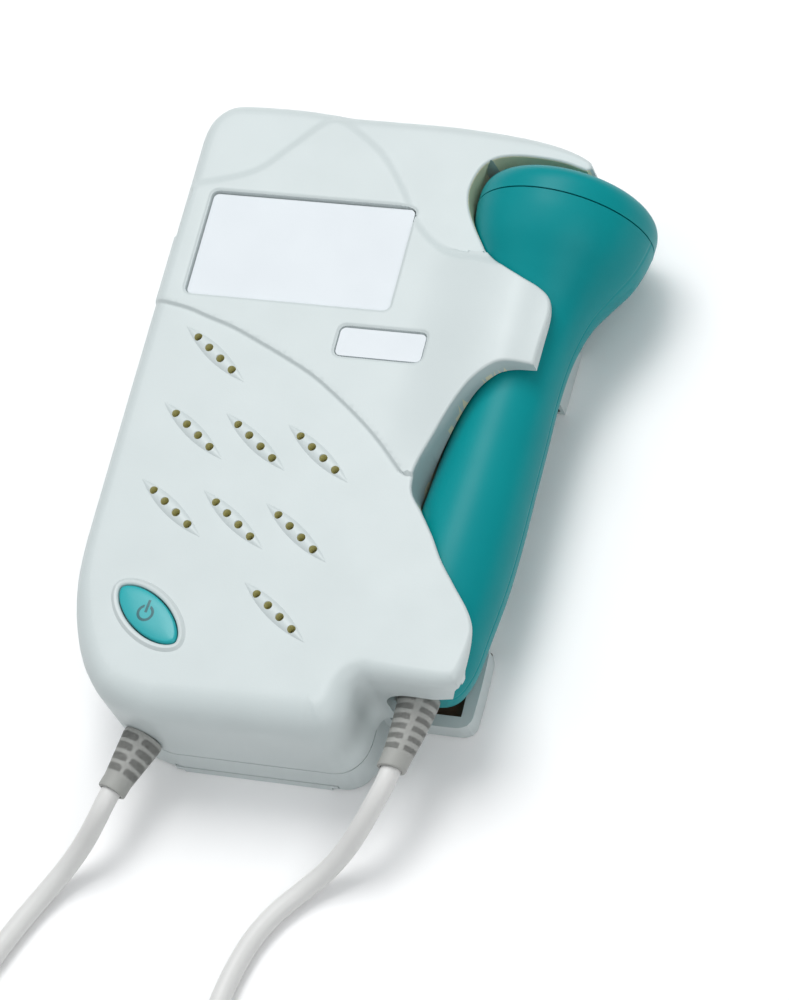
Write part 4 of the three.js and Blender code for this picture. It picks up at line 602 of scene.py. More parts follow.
def is_inside(points, outline):
    """A ray to the right crosses the outline an odd number of times from every point inside."""
    start, end = outline, np.roll(outline, -1, axis=0)
    odd = []
    for part in np.array_split(points, max(1, len(points) // 1500)):
        x, y = part[:, :1], part[:, 1:2]
        spans = (start[:, 1] > y) != (end[:, 1] > y)
        rise = np.where(end[:, 1] == start[:, 1], 1, end[:, 1] - start[:, 1])
        crossing = start[:, 0] + (y - start[:, 1]) * ((end[:, 0] - start[:, 0]) / rise)
        odd.append((spans & (x < crossing)).sum(axis=1) % 2 == 1)
    return np.concatenate(odd)


def eased(value, start, end):
    """0 before the start, 1 past the end, and three times the square less twice the cube between."""
    share = np.clip((value - start) / (end - start), 0, 1)
    return share * share * (3 - 2 * share)


def edge_fall(inside, radius):
    """How far a rounded edge has dropped: radius - sqrt(radius² - (radius - distance)²)."""
    left = np.clip(radius - inside, 0, radius)
    return radius - np.sqrt(radius**2 - left**2)


print("1 mm inside it, an edge of radius 3 has dropped", round(float(edge_fall(1, 3)), 2), "mm")

# %% Sizes and axes of the panel's shapes
BOSS_PLACES = [
    [0.1985, 0.5746], [0.1977, 0.4476], [0.3589, 0.4399], [0.5196, 0.4315],
    [0.1975, 0.3218], [0.3583, 0.3133], [0.5186, 0.3038], [0.519, 0.1776],
]
BOSS_LENGTH, BOSS_WIDTH, BOSS_RISE, HOLE_PITCH = 19.1, 3.3, 0.6, 3.67
SLANT = math.radians(-35.9)
BUTTON_PLACE, BUTTON_LENGTH, BUTTON_WIDTH = [0.2167, 0.1511], 17.1, 7.3
LABEL_SIDES, LABEL_DEPTH = (0.076, 0.598, 0.669, 0.843), 1.7
NAME_SIDES, NAME_DEPTH = (0.49, 0.711, 0.589, 0.639), 1.1
FIELD_CORNER, FIELD_LIP, LIP_RISE, FIELD_WALL = 1.4, 0.6, 0.3, 0.2
BUTTON_GAP, RING_WIDTH, RING_RISE, TIP_POWER = 0.25, 1.3, 0.5, 1.22
CLAW_CREST, CLAW_EDGE, CREST_ACROSS = 2.3, 0.5, 0.895
slant_across = np.array([math.cos(SLANT), math.sin(SLANT)])
slant_over = np.array([-math.sin(SLANT), math.cos(SLANT)])
print("ridges:", len(BOSS_PLACES), "with a slant of", round(math.degrees(SLANT), 1), "degrees")


# %% Outlines of the ridges, the button and the sunk fields
def slanted(points, place):
    """Points of the plan in the axes of a slanted shape at a place."""
    off = points[:, :2] - np.array(place) * PLAN_SIZE
    return off @ slant_across, off @ slant_over


def set_down(along, over, place):
    """The other way round: distances in the slanted axes as points of the plan."""
    flat = np.multiply.outer(along, slant_across) + np.multiply.outer(over, slant_over)
    return flat + np.array(place) * PLAN_SIZE


def hole_spots(place):
    """The four holes of the ridge at a place."""
    return set_down((np.arange(4) - 1.5) * HOLE_PITCH, np.zeros(4), place)


def boss_half_width(along, margin=0.0):
    """Half the width of a pointed oval: two arcs of one circle, whose height over the chord is
    sqrt(radius² - distance²) less the centre's depth."""
    half, rise = BOSS_LENGTH / 2 + margin, BOSS_WIDTH / 2 + margin * 0.6
    radius = (half**2 + rise**2) / (2 * rise)
    return np.sqrt(np.maximum(radius**2 - along**2, 0)) - (radius - rise)


def drawn_oval(margin, count=160):
    """The button's outline: an ellipse whose tips are slightly drawn out."""
    cosines, sines = circle(count)
    over = np.sign(sines) * np.abs(sines) ** TIP_POWER
    return at_height(set_down(
        (BUTTON_LENGTH / 2 + margin) * cosines, (BUTTON_WIDTH / 2 + margin) * over, BUTTON_PLACE), 0)


def sunk(points, sides):
    """Distance inside a rectangle with rounded corners, negative outside it."""
    left, right, low, high = np.array(sides) * np.repeat(PLAN_SIZE, 2)
    across = np.abs(points[:, 0] - (left + right) / 2) - (right - left) / 2 + FIELD_CORNER
    along = np.abs(points[:, 1] - (low + high) / 2) - (high - low) / 2 + FIELD_CORNER
    outside = np.hypot(np.maximum(across, 0), np.maximum(along, 0))
    return FIELD_CORNER - outside - np.minimum(np.maximum(across, along), 0)


# %% Add the heights up
raised_field = smooth_outline(plan(ARC[1:-2], CLAW_LOWER, CLAW_TIP, CLAW_UPPER, BELL[2:-1]))
raised_field[:, 0] = np.where(raised_field[:, 0] < 1, -9, raised_field[:, 0])
arc_line, bell_line = (smooth_outline(plan(table), closed=False) for table in (ARC, BELL))
button_rim = drawn_oval(BUTTON_GAP)
ARC_SLOPE, BELL_SLOPE = 0.8, 2.4


def panel_height(points):
    """The front panel's height: the flat, the raised field, the claw, the ridges and the ring,
    less the fall at the edge and the two sunk fields."""
    inside, radius = distance_to(points, front_outline)
    field = is_inside(points, raised_field)
    from_arc, from_bell = (distance_to(points, line, False)[0] for line in (arc_line, bell_line))
    lift = field * np.minimum(eased(from_arc, 0, ARC_SLOPE), eased(from_bell, 0, BELL_SLOPE))
    height = PANEL_HEIGHT + RAISED_STEP * lift
    x, y = (points[:, :2] / PLAN_SIZE).T
    beyond = 1 - (1 - CLAW_EDGE / CLAW_CREST) * eased(x, CREST_ACROSS, 0.996)
    across = np.where(x < CREST_ACROSS, eased(x, 0.66, CREST_ACROSS), beyond)
    height += field * CLAW_CREST * across * eased(y, 0.4, 0.52) * (1 - eased(y, 0.74, 0.87))
    for place in BOSS_PLACES:
        along, over = slanted(points, place)
        wide = boss_half_width(along)
        share = np.abs(over) / np.maximum(wide, 1e-6)
        full = np.clip(wide / (BOSS_WIDTH / 2), 0, 1)
        height += np.where((wide > 0) & (share < 1), BOSS_RISE * full * (1 - share**2), 0)
    far = distance_to(points, button_rim)[0] - RING_WIDTH / 2
    ringed = ~is_inside(points, button_rim) & (far < RING_WIDTH / 2)
    bow = np.sqrt(np.clip(1 - (2 * far / RING_WIDTH) ** 2, 0, 1))
    height += np.where(ringed, RING_RISE * bow, 0)
    for sides, depth in ((LABEL_SIDES, LABEL_DEPTH), (NAME_SIDES, NAME_DEPTH)):
        deep = sunk(points, sides)
        height -= LIP_RISE * eased(deep, -FIELD_LIP, 0)
        height -= (depth - LIP_RISE) * np.clip(deep / FIELD_WALL, 0, 1)
    return height - edge_fall(inside, radius)


first_ridge = np.array(BOSS_PLACES[:1]) * PLAN_SIZE
print("height at the first ridge:", np.round(panel_height(first_ridge), 2), "mm")

# %% [markdown]
# ## From the heights to a closed body
# A regular grid would cut the edges and ridges into steps. Points are laid along the shapes
# instead: rows that follow the outline at growing distances, rows beside each crease, and small
# fans over the ridges, with an even field of points in between. A triangulation that keeps the
# outline as an edge then joins them all.

# %% Points that follow the shapes
PANEL_GRID = 1.3
EDGE_SHARES = np.array([0.03, 0.1, 0.2, 0.33, 0.48, 0.65, 0.83, 1.0])
RING_OFFSETS = np.array([[0.35, 0, -0.06, -0.2, -0.45, -0.85, -1.25, -1.5, -1.7, -1.76, -2]])
SUNK_MARGINS = (-0.75, -0.6, -0.45, -0.3, -0.15, 0, 0.2, 0.5)
FAN_SHARES = np.array([-1, -0.93, -0.8, -0.6, -0.35, 0, 0.35, 0.6, 0.8, 0.93, 1])


def rows_beside(line, offsets, closed=True):
    """Rows of points square to a line at given offsets. Those that come nearer to another stretch
    of the line are left out."""
    way = unit(np.gradient(line[:, :2], axis=0))
    inward = np.column_stack([-way[:, 1], way[:, 0]])
    rows = (line[:, None, :2] + inward[:, None] * offsets[..., None]).reshape(-1, 2)
    wanted = np.broadcast_to(np.abs(offsets), (len(line), offsets.shape[-1])).reshape(-1)
    return rows[np.abs(distance_to(rows, line, closed)[0] - wanted) < 0.04 + 0.03 * wanted]


def lens_points(place):
    """A fan of rows over one ridge, denser at its tips, and a row just outside on either side."""
    along = BOSS_LENGTH / 2 * np.sin(np.linspace(-1, 1, 45) * math.pi / 2 * 0.98)
    wide, outside = boss_half_width(along), boss_half_width(along, 0.2)
    fan = set_down(along[:, None] + 0 * FAN_SHARES, wide[:, None] * FAN_SHARES, place)
    rims = (set_down(along, side, place) for side in (outside, -outside))
    return np.vstack([fan.reshape(-1, 2), *rims])


def rounded_rows(sides, spacing=0.5):
    """Evenly spaced rows round a rectangle with rounded corners, each at its own margin inside."""
    left, right, low, high = (
        np.array(sides) * np.repeat(PLAN_SIZE, 2) + FIELD_CORNER * np.array([1, -1, 1, -1]))
    rows = []
    for margin in SUNK_MARGINS:
        corners, reach = [], FIELD_CORNER - margin
        for k, (x, y) in enumerate([(right, high), (left, high), (left, low), (right, low)]):
            turn = np.linspace(0, math.pi / 2, 9) + k * math.pi / 2
            corners.append(np.column_stack([x + reach * np.cos(turn), y + reach * np.sin(turn)]))
        ring = np.vstack([*corners, corners[0][:1]])
        way = lengths_along(ring)
        even = np.linspace(0, way[-1], int(way[-1] / spacing), endpoint=False)
        even = np.unique(np.concatenate([even, way[:-1]]))
        rows.append(np.column_stack([np.interp(even, way, ring[:, k]) for k in (0, 1)]))
    return np.vstack(rows)


# %% Lay all the points
edge_rows = rows_beside(front_outline, front_outline[:, 2:] * EDGE_SHARES)
crease_rows = np.vstack([
    rows_beside(line, np.linspace(-slope, slope, count)[None], False)
    for line, slope, count in ((arc_line, ARC_SLOPE, 9), (bell_line, BELL_SLOPE, 13))])
ring_rows = rows_beside(button_rim, RING_OFFSETS)
sunk_rows = np.vstack([rounded_rows(sides) for sides in (LABEL_SIDES, NAME_SIDES)])
fans = np.vstack([lens_points(place) for place in BOSS_PLACES])
across, along = np.meshgrid(
    np.arange(0.5, HOUSING_WIDTH, PANEL_GRID), np.arange(0.5, HOUSING_LENGTH, PANEL_GRID))
field = np.column_stack([across.ravel(), along.ravel()])
near_edge, near_radius = distance_to(field, front_outline)
free = near_edge > near_radius + 0.5
for place in BOSS_PLACES:
    u, v = slanted(field, place)
    free &= ~((np.abs(u) < BOSS_LENGTH / 2 + 0.4) & (np.abs(v) < boss_half_width(u, 0.2) + 0.5))
for sides in (LABEL_SIDES, NAME_SIDES):
    free &= np.abs(sunk(field, sides)) > 0.9
for line, slope in ((arc_line, ARC_SLOPE), (bell_line, BELL_SLOPE)):
    free &= distance_to(field, line, False)[0] > slope + 0.3
free &= np.abs(distance_to(field, button_rim)[0] - 0.8) > 1.5
laid = np.vstack([edge_rows, crease_rows, ring_rows, sunk_rows, fans, field[free]])
laid = laid[is_inside(laid, front_outline)]
laid = laid[distance_to(laid, front_outline)[0] > 0.015]
print("points laid over the panel:", len(laid))

# %% Close the block
END_UNDERCUT, SIDE_UNDERCUT, WALL_DROPS = 0.5, 1.2, (2.4, 8)
END_STARTS, SIDE_STARTS, SIDE_STOPS = (76, 81), (15, 19), (44, 51)


def filled(outline, inner):
    """Triangles over all points inside an outline, which itself stays an edge of them."""
    count = len(outline)
    corners = np.vstack([outline[:, :2], inner]).tolist()
    rim = np.column_stack([np.arange(count), (np.arange(count) + 1) % count]).tolist()
    flat, _, faces, *_ = delaunay_2d_cdt([Vector(c) for c in corners], rim, [], 1, 1e-4)
    return np.array(flat), [list(face) for face in faces]


def to_model(points):
    """Millimetres in the housing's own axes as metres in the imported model's."""
    return (np.asarray(points) - WORK_SHIFT) * MM


def undercut(outline):
    """How far the cheek's edge runs back underneath, over the probe: a little over a millimetre
    along its end and its free side, eased to nothing where they stop."""
    x, y = outline[:, 0], outline[:, 1]
    end_wall = eased(x, *END_STARTS) * (y < 20)
    free_side = eased(y, *SIDE_STARTS) * (1 - eased(y, *SIDE_STOPS)) * (x > 60)
    return np.maximum(END_UNDERCUT * end_wall, SIDE_UNDERCUT * free_side)


def field_block(name, outline, inner, height, low):
    """A body with a height field on top, walls round the outline and a flat underside."""
    flat, faces = filled(outline, inner)
    count = len(outline)
    assert np.allclose(flat[:count], outline[:, :2], atol=1e-3)
    under, under_faces = filled(outline, np.zeros((0, 2)))
    top = at_height(flat, height(flat))
    under_rim = moved_in(outline, undercut(outline))
    walls = [at_height(under_rim, top[:count, 2] - drop) for drop in WALL_DROPS]
    bottom = at_height(under, low)
    bottom[:count, :2] = under_rim
    rings = [np.arange(count)] + [len(top) + k * count + np.arange(count) for k in range(3)]
    sides = [np.column_stack([upper, lower, np.roll(lower, -1), np.roll(upper, -1)])
             for upper, lower in zip(rings[:-1], rings[1:])]
    base = len(top) + 2 * count
    closing = [[base + corner for corner in face[::-1]] for face in under_faces]
    points = to_model(np.vstack([top, *walls, bottom]))
    return new_piece(name, points, faces + np.vstack(sides).tolist() + closing, white_shell, None)


# %% Simple bodies to carve with
def loft(name, rings):
    """A scratch body through rings of points in the housing's millimetres."""
    return skin(name, to_model(rings), white_shell, None)


def upright(name, outline, low, high):
    """A prism over an outline."""
    return loft(name, [at_height(np.asarray(outline)[:, :2], z) for z in (low, high)])


def prism_along(name, section, ends):
    """A prism along the housing: a section in across and up, between two places along."""
    across, up = np.array(section).T
    return loft(name, [np.column_stack([across, np.full(len(across), y), up]) for y in ends])


def block(name, x0, x1, y0, y1, z0, z1):
    """A plain box between two corners."""
    return upright(name, [(x0, y0), (x1, y0), (x1, y1), (x0, y1)], z0, z1)


def rods(name, places, low, high, radius):
    """Upright cylinders at some places of the plan."""
    round_it = radius * np.column_stack(circle(40))
    return [upright(name, place + round_it, low, high) for place in places]


def carved(piece, join=(), take=()):
    """Joins some shapes to a piece and takes others away, and keeps the outcome as its mesh."""
    for operation, shapes in (("UNION", join), ("DIFFERENCE", take)):
        for shape in shapes:
            change = piece.modifiers.new(shape.name, "BOOLEAN")
            change.operation, change.solver, change.object = operation, "MANIFOLD", shape
    graph = bpy.context.evaluated_depsgraph_get()
    outcome = bpy.data.meshes.new_from_object(piece.evaluated_get(graph))
    piece.modifiers.clear()
    piece.data = outcome
    for shape in (*join, *take):
        bpy.data.objects.remove(shape)
    return piece


test_block = carved(block("block", 0, 2, 0, 2, 0, 2), take=[block("cut", 1, 3, 1, 3, 1, 3)])
print("a block less a block at its corner has", len(test_block.data.polygons), "faces")
bpy.data.objects.remove(test_block)

# %% [markdown]
# ## The front shell
# The block over the outline is solid, and a real shell is not. The room inside, the probe's cradle,
# the cord's arch and every opening are bodies of their own that are taken away from it, in the same
# order as a mould's cores would leave them.

# %% Shapes that both shells are carved with
PROBE_CLEARANCE, CHANNEL_REACH = 0.4, 75
SLEEVE_RADIUS, RELIEF_PLUG, ARCH_STRETCH = 4.1, 3.0, 1.25
exit_from, exit_to = plan(TOP_LEFT)[-2:, :2]
exit_way = (exit_to - exit_from) / np.linalg.norm(exit_to - exit_from)
exit_out = np.array([exit_way[1], -exit_way[0], 0])
exit_side = np.array([exit_out[1], -exit_out[0], 0])
exit_place = np.array([*(exit_from + exit_to) / 2, 12.0])


def probe_channel():
    """The room that the probe lies in and slides out of: a quarter round on the inner side, whose
    radius follows the probe's profile, and flat faces from there outwards."""
    along, share = smooth_profile(PROFILE_SHARES, 90)
    share = np.concatenate([[PROFILE_SHARES[2, 1]], share[along > 0.02], [1]])
    along = np.concatenate([[-2 * PROBE_CLEARANCE / PROBE_LENGTH], along[along > 0.02],
                            [1 + (CAP_DEPTH + 2 * PROBE_CLEARANCE) / PROBE_LENGTH]])
    radius = (share * HEAD_RADIUS + PROBE_CLEARANCE)[:, None]
    turn = math.pi - math.pi / 2 * np.linspace(0, 1, 33)
    far = np.full_like(radius, CHANNEL_REACH)
    x = np.hstack([radius * np.cos(turn), far, far, -radius])
    z = np.hstack([radius * np.sin(turn), radius, -radius, -radius])
    y = np.broadcast_to(((along - 1) * PROBE_LENGTH)[:, None], x.shape)
    rings = PROBE_RING + np.stack([x, y, z], axis=-1) @ probe_axes
    return loft("probe_channel", rings)


def cord_arch():
    """The arch over the probe's cord, open outwards, through the cheek's end wall."""
    centre = PROBE_RING[0] - PROBE_LEAN * PROBE_LENGTH
    level = PROBE_RING[2] - PROBE_RISE * PROBE_LENGTH
    radius = SLEEVE_RADIUS + 2 * PROBE_CLEARANCE
    turn = math.pi - math.pi / 2 * np.linspace(0, 1, 24)
    section = [*zip(centre + ARCH_STRETCH * radius * np.cos(turn), level + radius * np.sin(turn))]
    right = centre + CHANNEL_REACH
    section += [(right, level + radius), (right, 3), (section[0][0], 3)]
    ends = (CHEEK[0][1] * HOUSING_LENGTH - 5, PROBE_RING[1] - PROBE_LENGTH + SHELL_WALL)
    return prism_along("cord_arch", section, ends)


def cheek_corner():
    """A wedge off the end wall's free corner, which slants in from the rim down to the arch."""
    section = [[80.3, 20.2], [81.6, 23.8], [83.9, 26.4], [90, 26.4], [90, 20.2]]
    return prism_along("cheek_corner", section, (8, 15.4))


def sleeve_hole(name):
    """The hole that the cord's sleeve sits in, square to the slanting end wall."""
    cosines, sines = circle(32)
    ring = (RELIEF_PLUG + SEAT_GAP) * (np.outer(cosines, exit_side) + np.outer(sines, [0, 0, 1]))
    return loft(name, [exit_place + exit_out * reach + ring for reach in (-6.8, 6.8)])


print("the cord leaves the housing at", np.round(exit_place, 1), "mm")

# %% The front shell's block and hollow
shell_front = field_block(
    "shell_front", front_outline, laid, panel_height, JOINT_HEIGHT + SEAT_GAP / 2)
hollow_radius = np.maximum(body_inside[:, 2] - SHELL_WALL, 0.6)
hollow_rings = [
    at_height(moved_in(body_inside, SHELL_WALL + hollow_radius * (1 - math.cos(turn))),
              PANEL_HEIGHT - SHELL_WALL - hollow_radius * (1 - math.sin(turn)))
    for turn in np.linspace(0, math.pi / 2, 7)]
hollow_foot = at_height(hollow_rings[0][:, :2], 3.6)
print("block:", len(shell_front.data.polygons), "faces")

# %% The front shell's openings
SCREW_PLACES = np.array([[0.074, 0.267], [0.083, 0.9], [0.63, 0.9], [0.694, 0.09]]) * PLAN_SIZE
POST_RADIUS, SCREW_RADIUS, SOCKET_RADIUS, WHEEL_RADIUS = 3.2, 1.6, 3.3, 7
HOLE_ROWS = [(0.85, 24), (0.85, PANEL_HEIGHT + 0.42), (1.15, PANEL_HEIGHT + 0.8), (1.15, 32)]
hole_ring = np.column_stack(circle(20))
boss_holes = [
    loft("boss_hole", [at_height(spot + radius * hole_ring, z) for radius, z in HOLE_ROWS])
    for place in BOSS_PLACES for spot in hole_spots(place)]
wheel_x, wheel_y, wheel_low = 0.17 * HOUSING_WIDTH, HOUSING_LENGTH + 1.2 - WHEEL_RADIUS, 17.6
inner_end = HOUSING_LENGTH - SHELL_WALL
slot_half = math.sqrt(WHEEL_RADIUS**2 - (inner_end - wheel_y) ** 2) + 0.6
cosines, sines = circle(48)
socket_ring = np.column_stack([
    0.43 * HOUSING_WIDTH + SOCKET_RADIUS * cosines, 0 * sines, 18.3 + SOCKET_RADIUS * sines])
room = carved(
    loft("room_inside", [hollow_foot, *hollow_rings]),
    take=rods("post", SCREW_PLACES, 0, PANEL_HEIGHT, POST_RADIUS))
carved(
    shell_front,
    take=[
        room,
        probe_channel(), cord_arch(), cheek_corner(), *boss_holes, sleeve_hole("sleeve_hole"),
        upright("button_hole", drawn_oval(BUTTON_GAP), 20, 34),
        *rods("screw_hole", SCREW_PLACES, 0, 16.6, SCREW_RADIUS),
        block("wheel_slot", wheel_x - slot_half, wheel_x + slot_half, inner_end - 0.9, inner_end + 5,
              wheel_low - 0.6, wheel_low + 3.2),
        loft("socket_hole", [socket_ring + [0, HOUSING_LENGTH + reach, 0] for reach in (6, -6)]),
    ])
print("front shell:", len(shell_front.data.polygons), "faces")


# %% Shade a carved shell
def dressed(piece, body, finish, node, angle=32):
    """Smooth shading across every soft bend, with the mean of the faces weighted by their size."""
    piece.data.shade_smooth()
    piece.data.set_sharp_from_angle(angle=math.radians(angle))
    piece.data.materials.clear()
    piece.data.materials.append(finish)
    steady = piece.modifiers.new("steady", "WEIGHTED_NORMAL")
    steady.keep_sharp = True
    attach(piece, body)
    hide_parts(node)
    print(piece.name, "rides on", body)


dressed(shell_front, "housing", white_shell, "front_shell")

# %% [markdown]
# ## The rear shell
# The back carries the tray that the probe lies in. It is the same kind of body: a block over its own
# outline with a fine rounding along the back, less the tray's steps, the room inside and the
# door's opening, with ribs, posts and a bulkhead set in.

# %% The rear shell's block and hollow
BACK_RADIUS, TRAY_FLOOR, TRAY_LIP = 1.2, 1.8, 5.3
LIP_WIDTH, HOOK_WALL, FINGER_LIP = 2.4, 1.4, 0.8
DOOR_MIDDLE, DOOR_LENGTH, DOOR_HALF = 0.45 * HOUSING_WIDTH, 59, 15.5
DOOR_THICKNESS, TONGUE = 1.1, 1.5
RIB_SHARES, RIB_WIDTH, BULKHEAD_PLACE, SCREW_HEAD_RADIUS = [0.27, 0.42, 0.57], 2.4, 60.6, 2.7
rear_top = JOINT_HEIGHT - SEAT_GAP / 2
rear_radius = np.minimum(rear_outline[:, 2], BACK_RADIUS)
rear_rings = [
    at_height(moved_in(rear_outline, rear_radius * (1 - math.sin(turn))),
              BACK_RADIUS * (1 - math.cos(turn)))
    for turn in np.linspace(0, math.pi / 2, 5)]
shell_rear = loft("shell_rear", [*rear_rings, at_height(rear_outline[:, :2], rear_top)])
tray = plan(TRAY)[:, :2].tolist()
(tray_wall, tray_start), tray_end, rib_side = tray[1], tray[12][1], tray[8][0]
hook_side, hook_end = tray[4][0] - LIP_WIDTH, tray[5][1]
finger_side, finger_low, finger_high = tray[9][0] - FINGER_LIP, tray[9][1], tray[10][1]
right = HOUSING_WIDTH + 5
rear_room = carved(
    upright("rear_room", moved_in(body_inside, SHELL_WALL), SHELL_WALL, 14),
    take=rods("post", SCREW_PLACES, 0, 15, POST_RADIUS))
print("tray: from", round(tray_start, 1), "to", round(tray_end, 1), "mm")


# %% Steps, ribs and openings of the rear shell
def door_block(name, margin, y0, y1, z0, z1):
    """A box as wide as the battery door, and wider by the margin on both sides."""
    half = DOOR_HALF + margin
    return block(name, DOOR_MIDDLE - half, DOOR_MIDDLE + half, y0, y1, z0, z1)


carved(
    shell_rear,
    take=[
        block("above_lips", tray_wall, right, tray_start - 5, tray_end, TRAY_LIP, 14),
        *[block("tray_room", tray_wall, side, start, end, TRAY_FLOOR, 11) for side, start, end in (
            (hook_side, tray_start + LIP_WIDTH, hook_end),
            (right + 1, hook_end + HOOK_WALL, finger_low),
            (finger_side, finger_low - 0.3, finger_high))],
        probe_channel(), rear_room,
        door_block("door_way", SEAT_GAP, -5, DOOR_LENGTH, -5, DOOR_THICKNESS),
        door_block("tongue_way", TONGUE + SEAT_GAP, -5, DOOR_LENGTH,
                   DOOR_THICKNESS - SEAT_GAP, DOOR_THICKNESS + 1 + SEAT_GAP),
        *rods("screw_head_hole", SCREW_PLACES, -5, 2.4, SCREW_HEAD_RADIUS),
        *rods("screw_hole", SCREW_PLACES, -5, 14, SCREW_RADIUS),
        sleeve_hole("rear_sleeve_hole"),
    ])
carved(shell_rear, join=[
    *[carved(block("rib", tray_wall - SHELL_WALL, rib_side, share * HOUSING_LENGTH,
                   share * HOUSING_LENGTH + RIB_WIDTH, 0.9, rear_top), take=[probe_channel()])
      for share in RIB_SHARES],
    door_block("bulkhead", TONGUE, BULKHEAD_PLACE, BULKHEAD_PLACE + SHELL_WALL, 0.9, 9.65)])
print("rear shell:", len(shell_rear.data.polygons), "faces")
dressed(shell_rear, "housing", white_shell, "rear_shell")

# %% [markdown]
# ## The faces round the probe
# Little light gets in beside the probe, so the cradle's and the bay's inner faces carry painted
# shade, beige at the rim and brown further down, and the tray's lips carry painted light, a beige
# lightened against their shadow. They belong to the same mouldings, so they only take another
# material, found by
# where each face lies: close to the channel's round wall, upright and close to the bay's outline, on
# the tray's lips, or in one of the small holes.

# %% A finish of painted shade that darkens with depth
def painted_shade_finish():
    """Painted shade: plastic that turns from pale beige at the rim to brown deep down, by its height.
    """
    made = Finish("cradle_painted_shade")
    height = made.add("SeparateXYZ", Vector=made.place).outputs["Z"]
    depth = made.between(height, 0.0, 1.0, 10 * MM, 21 * MM)
    # painted shade: the brown of the deepest faces, in two close tones
    shade_browns = made.blots(4, 4, (92, 72, 54), (76, 60, 46))
    return made.done(
        made.mix(depth, shade_browns, linear(240, 228, 196)), made.between(made.noise(6), 0.5, 0.62),
        made.relief(made.noise(0.4, 2), 0.02, 0.5))


cradle_painted_shade = painted_shade_finish()
# painted light: the lips' beige is lightened where they lie in the probe's shadow
beige_painted_light = moulded("beige_painted_light", (232, 224, 196), (224, 215, 186), 0.5)
hole_inside = moulded("hole_inside", (214, 210, 158), (206, 202, 148), 0.5)

# %% Choose the inner faces
STEEP, RIM_LOW, END_WALL, TRAY_SIDE, HOLE_LOW = 0.6, 28.3, 15.6, 62, 26


def face_places(mesh):
    """Centres in the housing's millimetres and normals of all faces, as arrays."""
    centres, normals = (np.empty(3 * len(mesh.polygons)) for _ in range(2))
    mesh.polygons.foreach_get("center", centres)
    mesh.polygons.foreach_get("normal", normals)
    return centres.reshape(-1, 3) / MM + WORK_SHIFT, normals.reshape(-1, 3)


def colour_inside(piece):
    """The probe's room takes painted shade, the tray's lips painted light, the speaker's holes the
    olive finish.
    """
    centres, normals = face_places(piece.data)
    flat, height, tilt = centres[:, :2], centres[:, 2], np.abs(normals[:, 2])
    off = centres - PROBE_RING
    apart = np.hypot(off @ probe_across, off @ probe_up)
    share = 1 + off @ probe_along / PROBE_LENGTH
    radius = np.interp(share, handle_along, handle_share) * HEAD_RADIUS + PROBE_CLEARANCE
    on_wall = (np.abs(apart - radius) < 0.6) & (share > -0.05) & (share < 1.12)
    in_bay = (distance_to(flat, plan(BAY), False)[0] < 0.7) & (tilt < STEEP)
    low = (tilt < STEEP) & (distance_to(flat, plan(BODY_SIDE), False)[0] < 0.5)
    # painted shade: the channel's wall, the bay's wall, the body's low side walls and the tray's
    # floor take the darkening finish
    deep = (on_wall | in_bay | low) & (height < RIM_LOW) & (centres[:, 1] > END_WALL)
    on_tray = (centres[:, 0] > TRAY_SIDE) & (height > 1.5)
    deep |= on_tray & (height < TRAY_FLOOR + 0.5) & (normals[:, 2] > 0.9)
    # painted light: the lips' upright faces take the lightened beige
    lip = on_tray & (centres[:, 0] > TRAY_SIDE + 1) & (tilt < STEEP) & (height < TRAY_LIP + 0.2)
    lip &= distance_to(flat, rear_outline)[0] > 0.4
    spots = np.vstack([hole_spots(place) for place in BOSS_PLACES])
    near = np.linalg.norm(flat[:, None] - spots, axis=2).min(axis=1)
    hole = (near < 0.95) & (tilt < STEEP) & (height > HOLE_LOW)
    for finish in (cradle_painted_shade, beige_painted_light, hole_inside):
        piece.data.materials.append(finish)
    index = np.select([hole, lip, deep], [3, 2, 1], 0)
    piece.data.polygons.foreach_set("material_index", index.astype(np.int32))
    print(piece.name, "faces by finish:", np.bincount(index).tolist())


colour_inside(shell_front)
colour_inside(shell_rear)

# %% [markdown]
# ## The power button
# The button is a low teal dome in a white ring. Its sign, a ring with a bar through its gap, is
# printed, so it needs no mesh of its own: the finish is darker where shader nodes find that a point
# lies close enough to the ring or to the bar.

# %% The button's dome
BUTTON_TOP, STEM_RADIUS, DISC_MARGIN = 29.42, 1.6, 1.2
button_middle = np.array(BUTTON_PLACE) * PLAN_SIZE


def button_dome():
    """A stem and a disc below, and rings that shrink from the outline to the middle: the height
    falls with the fourth power of each ring's share, with a tight rounding at the outline."""
    share = np.concatenate([[1, 0.995, 0.98, 0.955, 0.92], np.linspace(0.87, 0.0, 14)[:-1], [0.001]])
    height = BUTTON_TOP - 0.35 * share**4 - 0.3 * np.clip((share - 0.93) / 0.07, 0, 1) ** 2.5
    outline, wide = (drawn_oval(margin)[:, :2] for margin in (0, DISC_MARGIN))
    rings = [at_height(button_middle + (outline - button_middle) * s, z)
             for s, z in zip(share, height)]
    turn = 2 * math.pi * np.arange(len(outline)) / len(outline) + SLANT
    stem = button_middle + STEM_RADIUS * np.column_stack([np.cos(turn), np.sin(turn)])
    lower = [(stem, 24.56), (stem, 25.5), (wide, 25.5), (wide, 26.5),
             (outline, 26.5), (outline, 28.3)]
    return np.array([*(at_height(flat, z) for flat, z in lower), *rings])


print("dome:", button_dome().shape[0], "rings")

# %% The printed sign
SIGN_OFFSET, SIGN_TURN = np.array([-0.35, 0.0]), math.radians(-5.5)
SIGN_RING, SIGN_STROKE, SIGN_GAP, BAR_LENGTH = 1.5 * MM, 0.29 * MM, 0.62 * MM, 2.8 * MM


